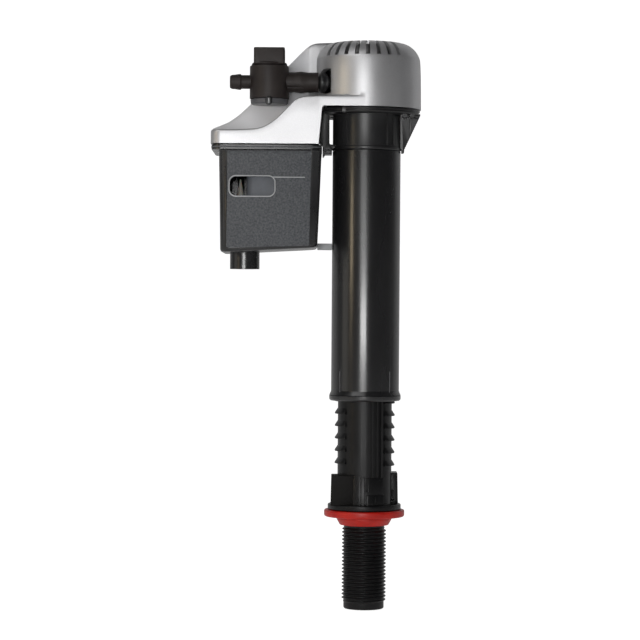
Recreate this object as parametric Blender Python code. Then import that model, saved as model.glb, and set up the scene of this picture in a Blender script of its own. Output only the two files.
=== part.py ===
"""Toilet fill valve: threaded shank, telescoping riser, head with silver cover,
float chamber hung beside the riser and a rotary refill valve.

Frame: metres, +Z up.  The origin is the middle of the bounding box's floor:
Z = 0 is the end face of the shank, -X is the float chamber side and -Y is the
front.  The riser's centre line stands at x = +AXIS_X.
All dimensions below are in millimetres, with x and y counted from the riser's
centre line.  Angles are in degrees from +X towards +Y.
Every profile is a closed outline of (radius, z), or of (radius, distance)
where it is turned round a slanted or lying axis.
"""
import math

import bmesh
import bpy
from mathutils import Matrix, Vector

MM = 0.001
GAP = 0.3                      # clearance between neighbouring pieces
AXIS_X = 24.95                 # from the frame's origin to the riser's centre line
SHARP_ANGLE = 32               # edges bent more than this are shaded sharp

# Dimensions shared by several sections
BORE_R = 7.0
NECK_R = 10.6
FLANGE_Z0, FLANGE_Z1 = 49.8, 52.4
RISER_R, RISER_IN_R = 13.5, 12.0
RACK_RIGHT_DROP = 0.95         # the right rack sits this much lower
TUBE_R, TUBE_IN_R = 17.0, 15.5
TUBE_Z0, TUBE_Z1 = 103.9, 228.3
LUG_Z0 = 107.1
INNER_R, INNER_IN_R = 10.5, 8.6
INNER_Z0, INNER_Z1 = 110.0, 243.0
REFILL_X, REFILL_Y, REFILL_Z = -48.5, -17.0, 261.1
PIVOT_X, PIVOT_Z = -9.0, 274.7
ROD_X, ROD_Y = -63.0, 5.8
DRAIN_X = -60.6

for old in list(bpy.data.objects):
    bpy.data.objects.remove(old, do_unlink=True)


# ---------------------------------------------------------------- materials
def material(name, color, roughness, metallic=0.0):
    made = bpy.data.materials.new(name)
    made.use_nodes = True
    inputs = made.node_tree.nodes["Principled BSDF"].inputs
    inputs["Base Color"].default_value = (*color, 1.0)
    inputs["Roughness"].default_value = roughness
    inputs["Metallic"].default_value = metallic
    made.diffuse_color = (*color, 1.0)
    return made


BLACK = material("black_plastic", color=(0.025, 0.025, 0.027), roughness=0.32)
BLACK_BOX = material("black_chamber_plastic", color=(0.03, 0.03, 0.032), roughness=0.28)
SILVER = material("silver_cover_plastic", color=(0.58, 0.58, 0.59), roughness=0.38,
                  metallic=0.35)
RED = material("red_rubber", color=(0.56, 0.035, 0.02), roughness=0.5)
DARK = material("brown_black_plastic", color=(0.035, 0.028, 0.026), roughness=0.55)
GREY = material("grey_float_plastic", color=(0.16, 0.17, 0.19), roughness=0.5)
WHITE = material("natural_nylon", color=(0.78, 0.76, 0.70), roughness=0.45)
RUBBER = material("black_rubber", color=(0.02, 0.02, 0.02), roughness=0.7)
STEEL = material("steel_pin", color=(0.6, 0.6, 0.6), roughness=0.3, metallic=1.0)
LINK = material("light_grey_plastic", color=(0.45, 0.46, 0.47), roughness=0.5)

# ---------------------------------------------------------------- bodies
ORIGINS = {None: Vector((-AXIS_X, 0, 0))}


def add_body(name, parent, origin):
    """An empty on a joint's axis; everything that moves together hangs on it."""
    empty = bpy.data.objects.new(name, None)
    bpy.context.collection.objects.link(empty)
    if parent:
        empty.parent = bpy.data.objects[parent]
    ORIGINS[name] = Vector(origin)
    empty.location = (ORIGINS[name] - ORIGINS[parent]) * MM


for body_entry in (            # name, parent, origin
        ("base", None, (0, 0, 0)),
        ("carrier", "base", (0, 0, LUG_Z0)),
        ("upper", "carrier", (0, 0, LUG_Z0)),
        ("arm_axis", "upper", (PIVOT_X, 3.0, PIVOT_Z)),
        ("swivel_axis", "upper", (ROD_X, ROD_Y, 234.0)),
        ("rod_axis", "swivel_axis", (ROD_X, ROD_Y, 230.0)),
        ("float_axis", "swivel_axis", (ROD_X, ROD_Y, 215.0)),
        ("poppet_axis", "upper", (0, 0, 254.0)),
        ("check_axis", "upper", (DRAIN_X, 0, 176.0)),
        ("knob_axis", "upper", (REFILL_X, REFILL_Y, 270.0))):
    add_body(*body_entry)


# ---------------------------------------------------------------- objects
def face_outward(solid):
    bmesh.ops.recalc_face_normals(solid, faces=solid.faces[:])
    if solid.calc_volume(signed=True) < 0:
        bmesh.ops.reverse_faces(solid, faces=solid.faces[:])


def mesh_object(name, solid, body):
    """Turn a solid in millimetres into an object under its body's empty."""
    face_outward(solid)
    to_body = Matrix.Scale(MM, 4) @ Matrix.Translation(-ORIGINS[body])
    bmesh.ops.transform(solid, matrix=to_body, verts=solid.verts[:])
    mesh = bpy.data.meshes.new(name)
    solid.to_mesh(mesh)
    solid.free()
    made = bpy.data.objects.new(name, mesh)
    bpy.context.collection.objects.link(made)
    made.parent = bpy.data.objects[body]
    return made


def piece(name, solid, body, surface):
    made = mesh_object(name, solid, body)
    made.data.materials.append(surface)
    made.data.shade_smooth()
    made.data.set_sharp_from_angle(angle=math.radians(SHARP_ANGLE))
    return made


def join(solids):
    """Several separate solids in one."""
    if len(solids) == 1:
        return solids[0]
    joined = bmesh.new()
    for solid in solids:
        face_outward(solid)
        mesh = bpy.data.meshes.new("joining")
        solid.to_mesh(mesh)
        solid.free()
        joined.from_mesh(mesh)
        bpy.data.meshes.remove(mesh)
    return joined


def apply_tool(target, name, solids, operation):
    """Hang a hidden helper on the target's body and let a boolean use it."""
    tool = mesh_object(name, join(solids), target.parent.name)
    tool.hide_render = True
    tool.display_type = 'WIRE'
    boolean = target.modifiers.new(name, 'BOOLEAN')
    boolean.operation = operation
    boolean.solver = 'EXACT'
    boolean.object = tool


def add(target, name, *solids):
    apply_tool(target, name, solids, 'UNION')


def cut(target, name, *solids):
    apply_tool(target, name, solids, 'DIFFERENCE')


# ---------------------------------------------------------------- solids
def lathe(profile, segments, x=0.0, y=0.0):
    """Profile turned round a vertical line through x, y."""
    solid = bmesh.new()
    verts = [solid.verts.new((radius, 0.0, z)) for radius, z in profile]
    edges = []
    for i, start in enumerate(verts):
        end = verts[(i + 1) % len(verts)]
        if abs(start.co.x) < 1e-9 and abs(end.co.x) < 1e-9:
            continue           # an edge along the axis sweeps no face
        edges.append(solid.edges.new((start, end)))
    bmesh.ops.spin(solid, geom=solid.verts[:] + edges, cent=(0, 0, 0), axis=(0, 0, 1),
                   angle=2 * math.pi, steps=segments, use_merge=True)
    bmesh.ops.remove_doubles(solid, verts=solid.verts[:], dist=2e-3)
    bmesh.ops.translate(solid, vec=(x, y, 0), verts=solid.verts[:])
    return solid


def new_verts(result):
    return [part for part in result["geom"] if isinstance(part, bmesh.types.BMVert)]


def extrude(corners, shift):
    solid = bmesh.new()
    face = solid.faces.new([solid.verts.new(corner) for corner in corners])
    swept = bmesh.ops.extrude_face_region(solid, geom=[face])
    bmesh.ops.translate(solid, vec=shift, verts=new_verts(swept))
    return solid


def prism(outline, z0, z1):
    """Outline in XY pulled up from z0 to z1."""
    return extrude([(x, y, z0) for x, y in outline], (0, 0, z1 - z0))


def prism_xz(outline, y0, y1):
    """Outline in XZ pulled back from y0 to y1."""
    return extrude([(x, y0, z) for x, z in outline], (0, y1 - y0, 0))


def box(x0, x1, y0, y1, z0, z1):
    return prism([(x0, y0), (x1, y0), (x1, y1), (x0, y1)], z0, z1)


def aim(direction):
    """Rotation that takes +Z to the direction."""
    return direction.to_track_quat('Z', 'Y').to_matrix().to_4x4()


def rod(radius, start, end, segments):
    """Solid round bar between two points."""
    start, end = Vector(start), Vector(end)
    along = end - start
    solid = bmesh.new()
    bmesh.ops.create_cone(solid, cap_ends=True, segments=segments, radius1=radius,
                          radius2=radius, depth=along.length)
    place = Matrix.Translation((start + end) / 2) @ aim(along)
    bmesh.ops.transform(solid, matrix=place, verts=solid.verts[:])
    return solid


def turned(profile, start, direction, segments):
    """Profile turned round a line from start along direction."""
    solid = lathe(profile, segments)
    place = Matrix.Translation(Vector(start)) @ aim(Vector(direction))
    bmesh.ops.transform(solid, matrix=place, verts=solid.verts[:])
    return solid


def loft(rings):
    """Closed rings of equal count skinned one after the other and capped."""
    solid = bmesh.new()
    rows = [[solid.verts.new(point) for point in ring] for ring in rings]
    for row, following in zip(rows, rows[1:]):
        for i in range(len(row)):
            j = (i + 1) % len(row)
            solid.faces.new((row[i], row[j], following[j], following[i]))
    solid.faces.new(rows[0][::-1])
    solid.faces.new(rows[-1])
    return solid


# ---------------------------------------------------------------- outlines
def arc(radius, start, end, steps, x=0.0, y=0.0):
    angles = [math.radians(start + (end - start) * i / steps) for i in range(steps + 1)]
    return [(x + radius * math.cos(angle), y + radius * math.sin(angle)) for angle in angles]


def round_rect(x0, x1, y0, y1, radius, steps=4):
    corners = ((x1 - radius, y1 - radius, 0), (x0 + radius, y1 - radius, 90),
               (x0 + radius, y0 + radius, 180), (x1 - radius, y0 + radius, 270))
    return [point for x, y, start in corners
            for point in arc(radius, start, start + 90, steps, x, y)]


def sector(r_in, r_out, start, end, steps):
    return arc(r_out, start, end, steps) + arc(r_in, end, start, steps)


def rotated(outline, degrees):
    cos, sin = math.cos(math.radians(degrees)), math.sin(math.radians(degrees))
    return [(cos * x - sin * y, sin * x + cos * y) for x, y in outline]


# ---------------------------------------------------------------- shank base
SHANK_SEGMENTS = 24
THREAD_MAJOR_R = 11.1          # 7/8 in thread, 22.2 mm over the crests
THREAD_MINOR_R = 10.15
THREAD_PITCH = 1.814           # 14 threads per inch
THREAD_Z0 = 4.0
THREAD_TURNS = 20
FLANGE_R = 18.3
FLANGE_CHAMFER = 0.6
RISER_TOP = 203.0
RACK_TIP_R = 15.0
RACK_ROOT_R = RISER_R + 0.35   # where a tooth's slope ends
RACK_SLOPE_DROP = 0.9          # from the riser's edge loop down to the slope's end
RACK_Z0 = 72.55                # flat underside of the lowest tooth, left rack
RACK_PITCH = 6.2
RACK_TOOTH_H = 3.0
RACK_TEETH_Z = [RACK_Z0 + row * RACK_PITCH for row in range(18)]
BLOCK_OUT_X, BLOCK_IN_X = -16.6, -5.6
BLOCK_FRONT_Y, BLOCK_BACK_Y = -13.0, -0.6
BLOCK_ROOT_R = 12.7            # inside the riser's wall
BLOCK_TOP = 67.2


def shank_profile():
    profile = [(RISER_IN_R, RISER_TOP), (RISER_R, RISER_TOP)]
    for z in reversed(RACK_TEETH_Z):
        profile += [(RISER_R, z + RACK_TOOTH_H), (RISER_R, z)]
    thread_top = THREAD_Z0 + THREAD_TURNS * THREAD_PITCH
    profile += [
        (RISER_R, FLANGE_Z1), (FLANGE_R - FLANGE_CHAMFER, FLANGE_Z1),
        (FLANGE_R, FLANGE_Z1 - FLANGE_CHAMFER), (FLANGE_R, FLANGE_Z0), (NECK_R, FLANGE_Z0),
        (NECK_R, thread_top + 0.9), (THREAD_MINOR_R, thread_top)]
    for turn in reversed(range(THREAD_TURNS)):
        z = THREAD_Z0 + turn * THREAD_PITCH
        profile += [(THREAD_MAJOR_R, z + THREAD_PITCH / 2), (THREAD_MINOR_R, z)]
    return profile + [(THREAD_MINOR_R, 0.6), (THREAD_MINOR_R - 0.6, 0.0), (BORE_R, 0.0),
                      (BORE_R, 52.0), (RISER_IN_R, 58.0)]


def angle_from(point, facing):
    """Degrees between a point's direction from the axis and the facing angle."""
    angle = math.degrees(math.atan2(point.y, point.x))
    return abs((angle - facing + 180) % 360 - 180)


def raise_tooth(solid, z, facing, drop):
    """Pull one tooth out of the riser's wall: flat underside, sloping top."""
    wall = []
    for face in solid.faces:
        middle = face.calc_center_median()
        if (abs(middle.z - (z + RACK_TOOTH_H / 2)) < 0.4 and angle_from(middle, facing) < 45
                and abs(math.hypot(middle.x, middle.y) - RISER_R) < 0.4):
            wall.append(face)
    pulled = bmesh.ops.extrude_face_region(solid, geom=wall)
    bmesh.ops.delete(solid, geom=wall, context='FACES')
    for vert in new_verts(pulled):
        is_low = vert.co.z < z + 0.5
        radius = math.hypot(vert.co.x, vert.co.y)
        wanted = RACK_TIP_R if is_low else RACK_ROOT_R
        vert.co.x *= wanted / radius
        vert.co.y *= wanted / radius
        vert.co.z += 0.02 if is_low else -RACK_SLOPE_DROP
    for vert in solid.verts:
        if (z - 0.3 < vert.co.z < z + RACK_TOOTH_H + 0.3 and angle_from(vert.co, facing) < 50
                and math.hypot(vert.co.x, vert.co.y) > RISER_R - 0.2):
            vert.co.z -= drop


def wrench_block():
    """Outline of the front left block, hollowed to the riser's round."""
    start = math.atan2(-math.sqrt(BLOCK_ROOT_R ** 2 - BLOCK_IN_X ** 2), BLOCK_IN_X)
    end = math.atan2(BLOCK_BACK_Y, -math.sqrt(BLOCK_ROOT_R ** 2 - BLOCK_BACK_Y ** 2))
    return [(BLOCK_OUT_X, BLOCK_BACK_Y), (BLOCK_OUT_X, BLOCK_FRONT_Y),
            (BLOCK_IN_X, BLOCK_FRONT_Y),
            *arc(BLOCK_ROOT_R, math.degrees(start), math.degrees(end), 4)]


def build_shank():
    solid = lathe(shank_profile(), SHANK_SEGMENTS)
    for facing, drop in ((180, 0.0), (0, RACK_RIGHT_DROP)):
        for z in RACK_TEETH_Z:
            raise_tooth(solid, z, facing, drop)
    shank = piece("shank_base", solid, "base", BLACK)
    # two blocks stand on the flange and give a wrench its grip
    add(shank, "tool_wrench_blocks",
        *[prism(rotated(wrench_block(), turn), FLANGE_Z1 - 0.4, BLOCK_TOP) for turn in (0, 180)])
    # a guide rib at the front right keeps the tube's lugs from turning past open
    add(shank, "tool_guide_rib",
        prism(sector(RISER_R - 0.6, RISER_R + 0.9, -75, -50, 2), 58.0, 182.0))


# ---------------------------------------------------------------- washer and filter
WASHER_R, WASHER_IN_R = 20.1, NECK_R + GAP
WASHER_Z0, WASHER_Z1 = 46.0, 49.5
WASHER_STEP_R, WASHER_STEP_Z0 = 13.6, 42.5
FILTER_R = BORE_R - GAP


def build_washer():
    piece("shank_washer", lathe([
        (WASHER_IN_R, WASHER_Z1), (WASHER_R - 0.5, WASHER_Z1), (WASHER_R, WASHER_Z1 - 0.6),
        (WASHER_R, WASHER_Z0 + 0.9), (WASHER_R - 0.9, WASHER_Z0), (WASHER_STEP_R, WASHER_Z0),
        (WASHER_STEP_R, WASHER_STEP_Z0 + 0.6), (WASHER_STEP_R - 1.6, WASHER_STEP_Z0),
        (WASHER_IN_R, WASHER_STEP_Z0)], 28), "base", RED)


def build_filter():
    inlet_filter = piece("inlet_filter", lathe([
        (FILTER_R, 4.0), (FILTER_R, 2.0), (5.4, 2.0), (5.4, 14.8), (0, 14.8),
        (0, 16.0), (5.0, 16.0), (6.1, 15.0), (6.1, 4.0)], 16), "base", WHITE)
    slot = [(3.0, -0.5), (8.0, -0.5), (8.0, 0.5), (3.0, 0.5)]
    cut(inlet_filter, "tool_filter_slots",
        *[prism(rotated(slot, 60 * i + 9), 5.2, 13.6) for i in range(6)])


# ---------------------------------------------------------------- telescoping riser
SEAL_Z0, SEAL_Z1 = 112.4, 116.0
SEAL_R, SEAL_IN_R = RISER_IN_R - GAP, INNER_R - 0.4
COLLAR_R, SEAL_GROOVE_R = 11.4, 9.8
ORING_Z0, ORING_Z1 = 239.0, 241.0
ORING_R, ORING_IN_R = INNER_R + 0.15, INNER_R - 0.5
ORING_GROOVE_R = INNER_R - 0.8
BEAD_R = 17.9
LUG_IN_R, LUG_OUT_R = 13.9, TUBE_IN_R + 0.7
LUG_H = 2.1


def build_inner_riser():
    piece("riser_seal_ring", lathe([
        (SEAL_IN_R, SEAL_Z1), (SEAL_R - 0.4, SEAL_Z1), (SEAL_R, SEAL_Z1 - 1.0),
        (SEAL_R, SEAL_Z0 + 1.0), (SEAL_R - 0.4, SEAL_Z0), (SEAL_IN_R, SEAL_Z0)], 20),
        "carrier", RUBBER)
    piece("inlet_riser", lathe([
        (INNER_IN_R, INNER_Z1), (INNER_R, INNER_Z1),
        (INNER_R, ORING_Z1 + GAP), (ORING_GROOVE_R, ORING_Z1 + GAP),
        (ORING_GROOVE_R, ORING_Z0 - GAP), (INNER_R, ORING_Z0 - GAP),
        (INNER_R, 117.0), (COLLAR_R, 117.0),
        (COLLAR_R, SEAL_Z1 + GAP), (SEAL_GROOVE_R, SEAL_Z1 + GAP),
        (SEAL_GROOVE_R, SEAL_Z0 - GAP), (COLLAR_R, SEAL_Z0 - GAP),
        (COLLAR_R, INNER_Z0 + 0.6), (11.0, INNER_Z0), (INNER_IN_R, INNER_Z0)], 20),
        "upper", BLACK)
    piece("riser_top_oring", lathe([
        (ORING_IN_R, ORING_Z1 - 0.4), (INNER_R - 0.1, ORING_Z1), (ORING_R, ORING_Z1 - 0.4),
        (ORING_R, ORING_Z0 + 0.4), (INNER_R - 0.1, ORING_Z0), (ORING_IN_R, ORING_Z0 + 0.4)], 20),
        "upper", RUBBER)


def build_outer_tube():
    tube = piece("outer_tube", lathe([
        (TUBE_IN_R, TUBE_Z1), (TUBE_R, TUBE_Z1), (TUBE_R, 109.2), (TUBE_R + 0.45, 107.6),
        (BEAD_R, 106.4), (BEAD_R, 104.7), (BEAD_R - 0.6, TUBE_Z0), (TUBE_IN_R, TUBE_Z0)], 32),
        "upper", BLACK)
    # the lugs match the two racks in height
    add(tube, "tool_lock_lugs",
        *[prism(sector(LUG_IN_R, LUG_OUT_R, start, start + 36, 4), z, z + LUG_H)
          for start, z in ((-130, LUG_Z0), (50, LUG_Z0 - RACK_RIGHT_DROP))])


# ---------------------------------------------------------------- valve body
HEAD_R = 26.5
HEAD_Z0, HEAD_Z1 = 246.3, 248.7
CUP_R, CUP_IN_R, CUP_TOP = 20.0, 17.6, 265.2
SEAT_TOP = 252.0
NOZZLE_R, NOZZLE_IN_R = 7.4, 5.4
SPIGOT_R, SPIGOT_IN_R = TUBE_IN_R - GAP, 14.2
NIPPLE = Vector((-22.6, REFILL_Y, REFILL_Z))
NIPPLE_R, NIPPLE_BORE_R = 3.1, 1.7
BRACKET_OUTLINE = [            # x, z
    (-21.9, 248.2), (-22.6, 241.0), (-23.4, 232.6), (-22.7, 231.4), (-22.7, 225.2),
    (-21.8, 225.6), (-20.8, 226.6), (-17.35, 226.6), (-17.35, 229.2), (-16.0, 229.8),
    (-16.0, 231.2), (-18.6, 231.6), (-18.7, 246.0), (-18.0, 248.2)]
GUSSET_OUTLINE = [             # x, z
    (16.2, 247.0), (16.2, 229.4), (17.35, 229.2), (17.35, 227.6), (18.6, 227.6),
    (18.7, 229.2), (26.45, 246.2), (26.45, 247.0)]


def valve_body_profile():
    return [
        # outside, from the top of the diaphragm cup down to the spigot in the outer tube
        (CUP_IN_R, CUP_TOP), (CUP_R, CUP_TOP), (CUP_R, HEAD_Z1), (HEAD_R, HEAD_Z1),
        (HEAD_R, HEAD_Z0), (TUBE_R, HEAD_Z0), (TUBE_R, TUBE_Z1 + GAP),
        (SPIGOT_R, TUBE_Z1 + GAP), (SPIGOT_R, 219.0), (SPIGOT_IN_R, 219.0),
        (SPIGOT_IN_R, HEAD_Z0),
        # socket for the inner riser, then the inlet nozzle up to the seat
        (13.0, HEAD_Z0), (13.0, 236.0), (INNER_R + GAP, 236.0), (INNER_R + GAP, INNER_Z1 + GAP),
        (NOZZLE_IN_R, INNER_Z1 + GAP), (NOZZLE_IN_R, SEAT_TOP - 0.4), (5.9, SEAT_TOP),
        (6.9, SEAT_TOP), (NOZZLE_R, SEAT_TOP - 0.6), (NOZZLE_R, HEAD_Z1), (CUP_IN_R, HEAD_Z1)]


def build_valve_body():
    valve = piece("valve_body", lathe(valve_body_profile(), 24), "upper", BLACK)
    # outlet ports let the water fall between the two tubes
    cut(valve, "tool_outlet_ports",
        *[prism(sector(10.0, 14.6, 60 * i - 20, 60 * i + 20, 3), HEAD_Z0 - 0.8, HEAD_Z1 + 0.8)
          for i in range(6)])
    # the rim is cut back where the cover's skirt runs past it
    cut(valve, "tool_rim_cut", box(-30, -20.9, -30, 30, 240, 249.5))
    # bracket beside the float chamber, with its foot on the tube
    add(valve, "tool_bracket", prism_xz(BRACKET_OUTLINE, -6.0, 6.0))
    # gusset under the rim on the side away from the float
    add(valve, "tool_gusset", prism_xz(GUSSET_OUTLINE, -3.6, 3.6))
    # nipple that carries refill water out through the cover
    add(valve, "tool_nipple_in", rod(2.7, (-16.27, -9.59, REFILL_Z), NIPPLE, 14))
    add(valve, "tool_nipple_ball", turned([
        (0, -4.0), (2.6, -3.6), (4.4, -2.3), (5.2, -0.7), (5.2, 0.3), (4.4, 1.1),
        (NIPPLE_R, 1.3), (NIPPLE_R, 6.0), (2.5, 6.0), (2.5, 8.0), (NIPPLE_R, 8.0),
        (NIPPLE_R, 12.6), (2.7, 13.2), (0, 13.2)], NIPPLE, (-1, 0, 0), 14))
    cut(valve, "tool_nipple_bore",
        rod(NIPPLE_BORE_R, (-22.0, REFILL_Y, REFILL_Z), (-40.0, REFILL_Y, REFILL_Z), 12))
    cut(valve, "tool_nipple_bore_in",
        rod(NIPPLE_BORE_R, (-14.0, -6.93, REFILL_Z), (-23.1, REFILL_Y - 0.6, REFILL_Z), 12))


# ---------------------------------------------------------------- diaphragm and lid
PIN_R = 1.25
EAR_PAIR_Y = ((-6.7, -4.5), (10.2, 12.4))
EAR_OUTLINE = [                # x from the pivot, z
    (-3.0, 267.0), (3.0, 267.0), (2.6, 276.2), (1.4, 277.4), (-1.4, 277.4), (-2.6, 276.2)]


def build_main_valve():
    piece("main_diaphragm", lathe([
        (8.9, 256.1), (12.0, 255.4), (17.3, 256.2), (17.3, 258.6), (14.6, 258.6),
        (12.6, 256.9), (8.9, 257.7)], 20), "upper", RUBBER)
    piece("main_valve_poppet", lathe([
        (0, 261.0), (1.2, 261.0), (1.6, 260.4), (1.6, 258.0), (8.0, 257.8), (8.6, 257.2),
        (8.6, 254.6), (7.8, 253.5), (4.6, 253.5), (4.2, 252.6), (2.4, 250.4), (0, 250.0)], 16),
        "poppet_axis", WHITE)


def build_pressure_cover():
    lid = piece("pressure_cover", lathe([
        (0, 268.6), (1.1, 268.6), (1.1, 269.9), (2.3, 269.9), (2.6, 268.6), (14.0, 268.4),
        (21.2, 267.6), (21.6, 266.9), (21.6, 261.5), (20.35, 261.5), (20.35, 266.6),
        (16.7, 266.6), (16.7, 262.6), (17.2, 262.6), (17.2, 259.0), (15.6, 259.0),
        (15.0, 264.8), (0, 264.8)], 24), "upper", BLACK)
    ear = [(PIVOT_X + x, z) for x, z in EAR_OUTLINE]
    add(lid, "tool_pivot_ears", *[prism_xz(ear, y0, y1) for y0, y1 in EAR_PAIR_Y])
    # pilot bore up the middle, and room for the nipple's inner run
    cut(lid, "tool_pilot_bore",
        rod(0.55, (0, 0, 262), (0, 0, 268.2), 10),
        rod(3.8, (-14.6, -7.63, REFILL_Z), (-21.6, -15.83, REFILL_Z), 16))
    cut(lid, "tool_pivot_holes",
        rod(PIN_R + GAP, (PIVOT_X, -9, PIVOT_Z), (PIVOT_X, 14, PIVOT_Z), 14))


def build_gasket_and_pin():
    piece("cover_gasket", lathe([
        (17.9, 265.5), (17.9, 266.1), (18.2, 266.3), (19.4, 266.3), (19.7, 266.1),
        (19.7, 265.5)], 20), "upper", RUBBER)
    piece("arm_pivot_pin", rod(PIN_R, (PIVOT_X, -7.2, PIVOT_Z), (PIVOT_X, 12.8, PIVOT_Z), 14),
          "upper", STEEL)


# ---------------------------------------------------------------- float arm
ARM_Y0, ARM_Y1 = 2.0, 9.6
ARM_Z0, ARM_Z1 = 272.8, 276.8  # level part over the lid
ARM_FORK_HALF = 2.35
ARM_OUTLINE = [                # x, z: along the top to the left, back underneath
    (5.0, ARM_Z1), (-24.0, ARM_Z1), (-27.0, 275.8), (-33.0, 270.0), (-40.0, 262.0),
    (-45.0, 253.8), (-50.0, 246.8), (-53.5, 242.6), (-55.2, 236.9), (-69.0, 236.6),
    (-69.0, 233.4), (-52.4, 233.6), (-49.8, 240.4), (-46.6, 244.8), (-41.5, 252.0),
    (-36.5, 258.8), (-31.0, 264.8), (-26.0, 271.0), (-24.0, ARM_Z0), (5.0, ARM_Z0)]


def build_float_arm():
    arm = piece("float_arm", prism_xz(ARM_OUTLINE, ARM_Y0, ARM_Y1), "arm_axis", BLACK)
    add(arm, "tool_arm_head", box(-13.0, 4.0, -3.9, 5.0, ARM_Z0, ARM_Z1))
    # pivot hole, and the slot that takes the rod's swivel
    cut(arm, "tool_arm_cuts",
        rod(1.6, (PIVOT_X, -8, PIVOT_Z), (PIVOT_X, 12, PIVOT_Z), 14),
        box(-75.0, -57.2, ROD_Y - ARM_FORK_HALF, ROD_Y + ARM_FORK_HALF, 230, 245))
    piece("pilot_seal_pad", lathe([
        (0, 272.5), (2.2, 272.5), (2.5, 272.2), (2.5, 271.5), (2.2, 271.2), (0, 271.2)], 16),
        "arm_axis", RUBBER)


# ---------------------------------------------------------------- level rod and float
FLOAT_X0, FLOAT_X1, FLOAT_HALF = -59.4, -27.0, 20.5
FLOAT_Z0, FLOAT_Z1 = 184.0, 222.0
FLOAT_WALL, FLOAT_ROOF = 1.6, 1.8
FLOAT_LUG_HALF = 5


def build_level_rod():
    piece("rod_swivel", lathe([
        (0, 239.4), (3.2, 239.4), (3.6, 239.0), (3.6, 237.4), (2.0, 237.4), (2.0, 231.2),
        (0, 231.2)], 18, ROD_X, ROD_Y), "swivel_axis", WHITE)
    piece("level_rod", lathe([
        (0, 230.9), (2.6, 230.9), (2.9, 230.6), (2.9, 228.6), (1.6, 228.2), (1.6, 209.0),
        (0.8, 207.8), (1.65, 202.6), (1.4, 202.2), (0, 202.2)], 16, ROD_X, ROD_Y),
        "rod_axis", WHITE)


def build_float():
    outside = round_rect(FLOAT_X0, FLOAT_X1, -FLOAT_HALF, FLOAT_HALF, 3.5)
    half = FLOAT_HALF - FLOAT_WALL
    inside = round_rect(FLOAT_X0 + FLOAT_WALL, FLOAT_X1 - FLOAT_WALL, -half, half, 2.0)
    floater = piece("float", prism(outside, FLOAT_Z0, FLOAT_Z1), "float_axis", GREY)
    lug = round_rect(-67.0, -56.0, ROD_Y - FLOAT_LUG_HALF, ROD_Y + FLOAT_LUG_HALF, 1.5, 2)
    add(floater, "tool_float_lug", prism(lug, 216.2, 221.0))
    # hollow open at the bottom, and the level rod's hole in the lug
    cut(floater, "tool_float_cuts",
        prism(inside, 180.0, FLOAT_Z1 - FLOAT_ROOF),
        rod(1.95, (ROD_X, ROD_Y, 214), (ROD_X, ROD_Y, 224), 14))


# ---------------------------------------------------------------- float chamber
BOX_X0, BOX_X1, BOX_HALF = -73.0, -23.3, 25.0
BOX_Z0, BOX_Z1 = 177.0, 229.9
BOX_WALL = 1.7
BOX_FLOOR_TOP = 178.9
LIP_X0, LIP_X1, LIP_HALF = -76.6, BOX_X1 + 0.2, 26.8
DRAIN_R, DRAIN_Z0 = 7.4, 169.2
CHAMBER_RINGS = [              # z, left x, right x, half depth, corner radius
    (BOX_Z0, BOX_X0 + 0.9, BOX_X1 - 0.9, BOX_HALF - 0.9, 3.4),
    (BOX_Z0 + 0.9, BOX_X0 + 0.2, BOX_X1 - 0.1, BOX_HALF - 0.2, 4.0),
    (226.4, BOX_X0, BOX_X1, BOX_HALF, 4.0),
    (227.4, LIP_X0, LIP_X1, LIP_HALF, 5.0),
    (BOX_Z1, LIP_X0, LIP_X1, LIP_HALF, 5.0)]


def build_float_chamber():
    chamber = piece("float_chamber", loft(
        [[(x, y, z) for x, y in round_rect(x0, x1, -half, half, radius)]
         for z, x0, x1, half, radius in CHAMBER_RINGS]), "upper", BLACK_BOX)
    add(chamber, "tool_drain_spout",
        rod(DRAIN_R, (DRAIN_X, 0, DRAIN_Z0), (DRAIN_X, 0, BOX_Z0 + 0.8), 24))
    half = BOX_HALF - BOX_WALL
    hollow = round_rect(BOX_X0 + BOX_WALL, BOX_X1 - BOX_WALL, -half, half, 2.6)
    cut(chamber, "tool_chamber_hollow", prism(hollow, BOX_FLOOR_TOP, 235))
    # window in the front wall, the check disc's room and the drain hole above it
    window = round_rect(-67.3, -45.6, 204.8, 214.1, 3.0, 3)
    cut(chamber, "tool_chamber_openings",
        prism_xz(window, -30, -20),
        turned([(0, 0), (4.5, 0), (4.5, 2.0), (5.6, 2.0), (5.6, 7.7), (0, 7.7)],
               (DRAIN_X, 0, DRAIN_Z0 - 1.3), (0, 0, 1), 20),
        rod(3.6, (DRAIN_X, 0, 175.9), (DRAIN_X, 0, 185), 16))


def build_check_disc_and_clip():
    piece("drain_check_disc", lathe([
        (0, 172.6), (1.4, 172.6), (5.1, 171.6), (5.1, 170.2), (0, 170.2)], 18, DRAIN_X, 0),
        "check_axis", RUBBER)
    piece("chamber_clip", box(-22.35, -17.35, -4.0, 4.0, 179.0, 182.2), "upper", LINK)


# ---------------------------------------------------------------- silver cover
COVER_R = 27.1
COVER_TOP = 282.2
COVER_RIM_Z = 249.0
COVER_SKIRT_Z = 230.3
COVER_X0 = -77.0
COVER_HALF = 26.9
COVER_CORNER_R = 5.0
COVER_WALL, COVER_ROOF = 1.8, 1.9
STEP_AT = -22.4 - COVER_X0     # where the skirt steps up to the rim, from the left end
HOLLOW_STEP_AT = 49.2          # the same for the hollow, from its own left end
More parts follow.
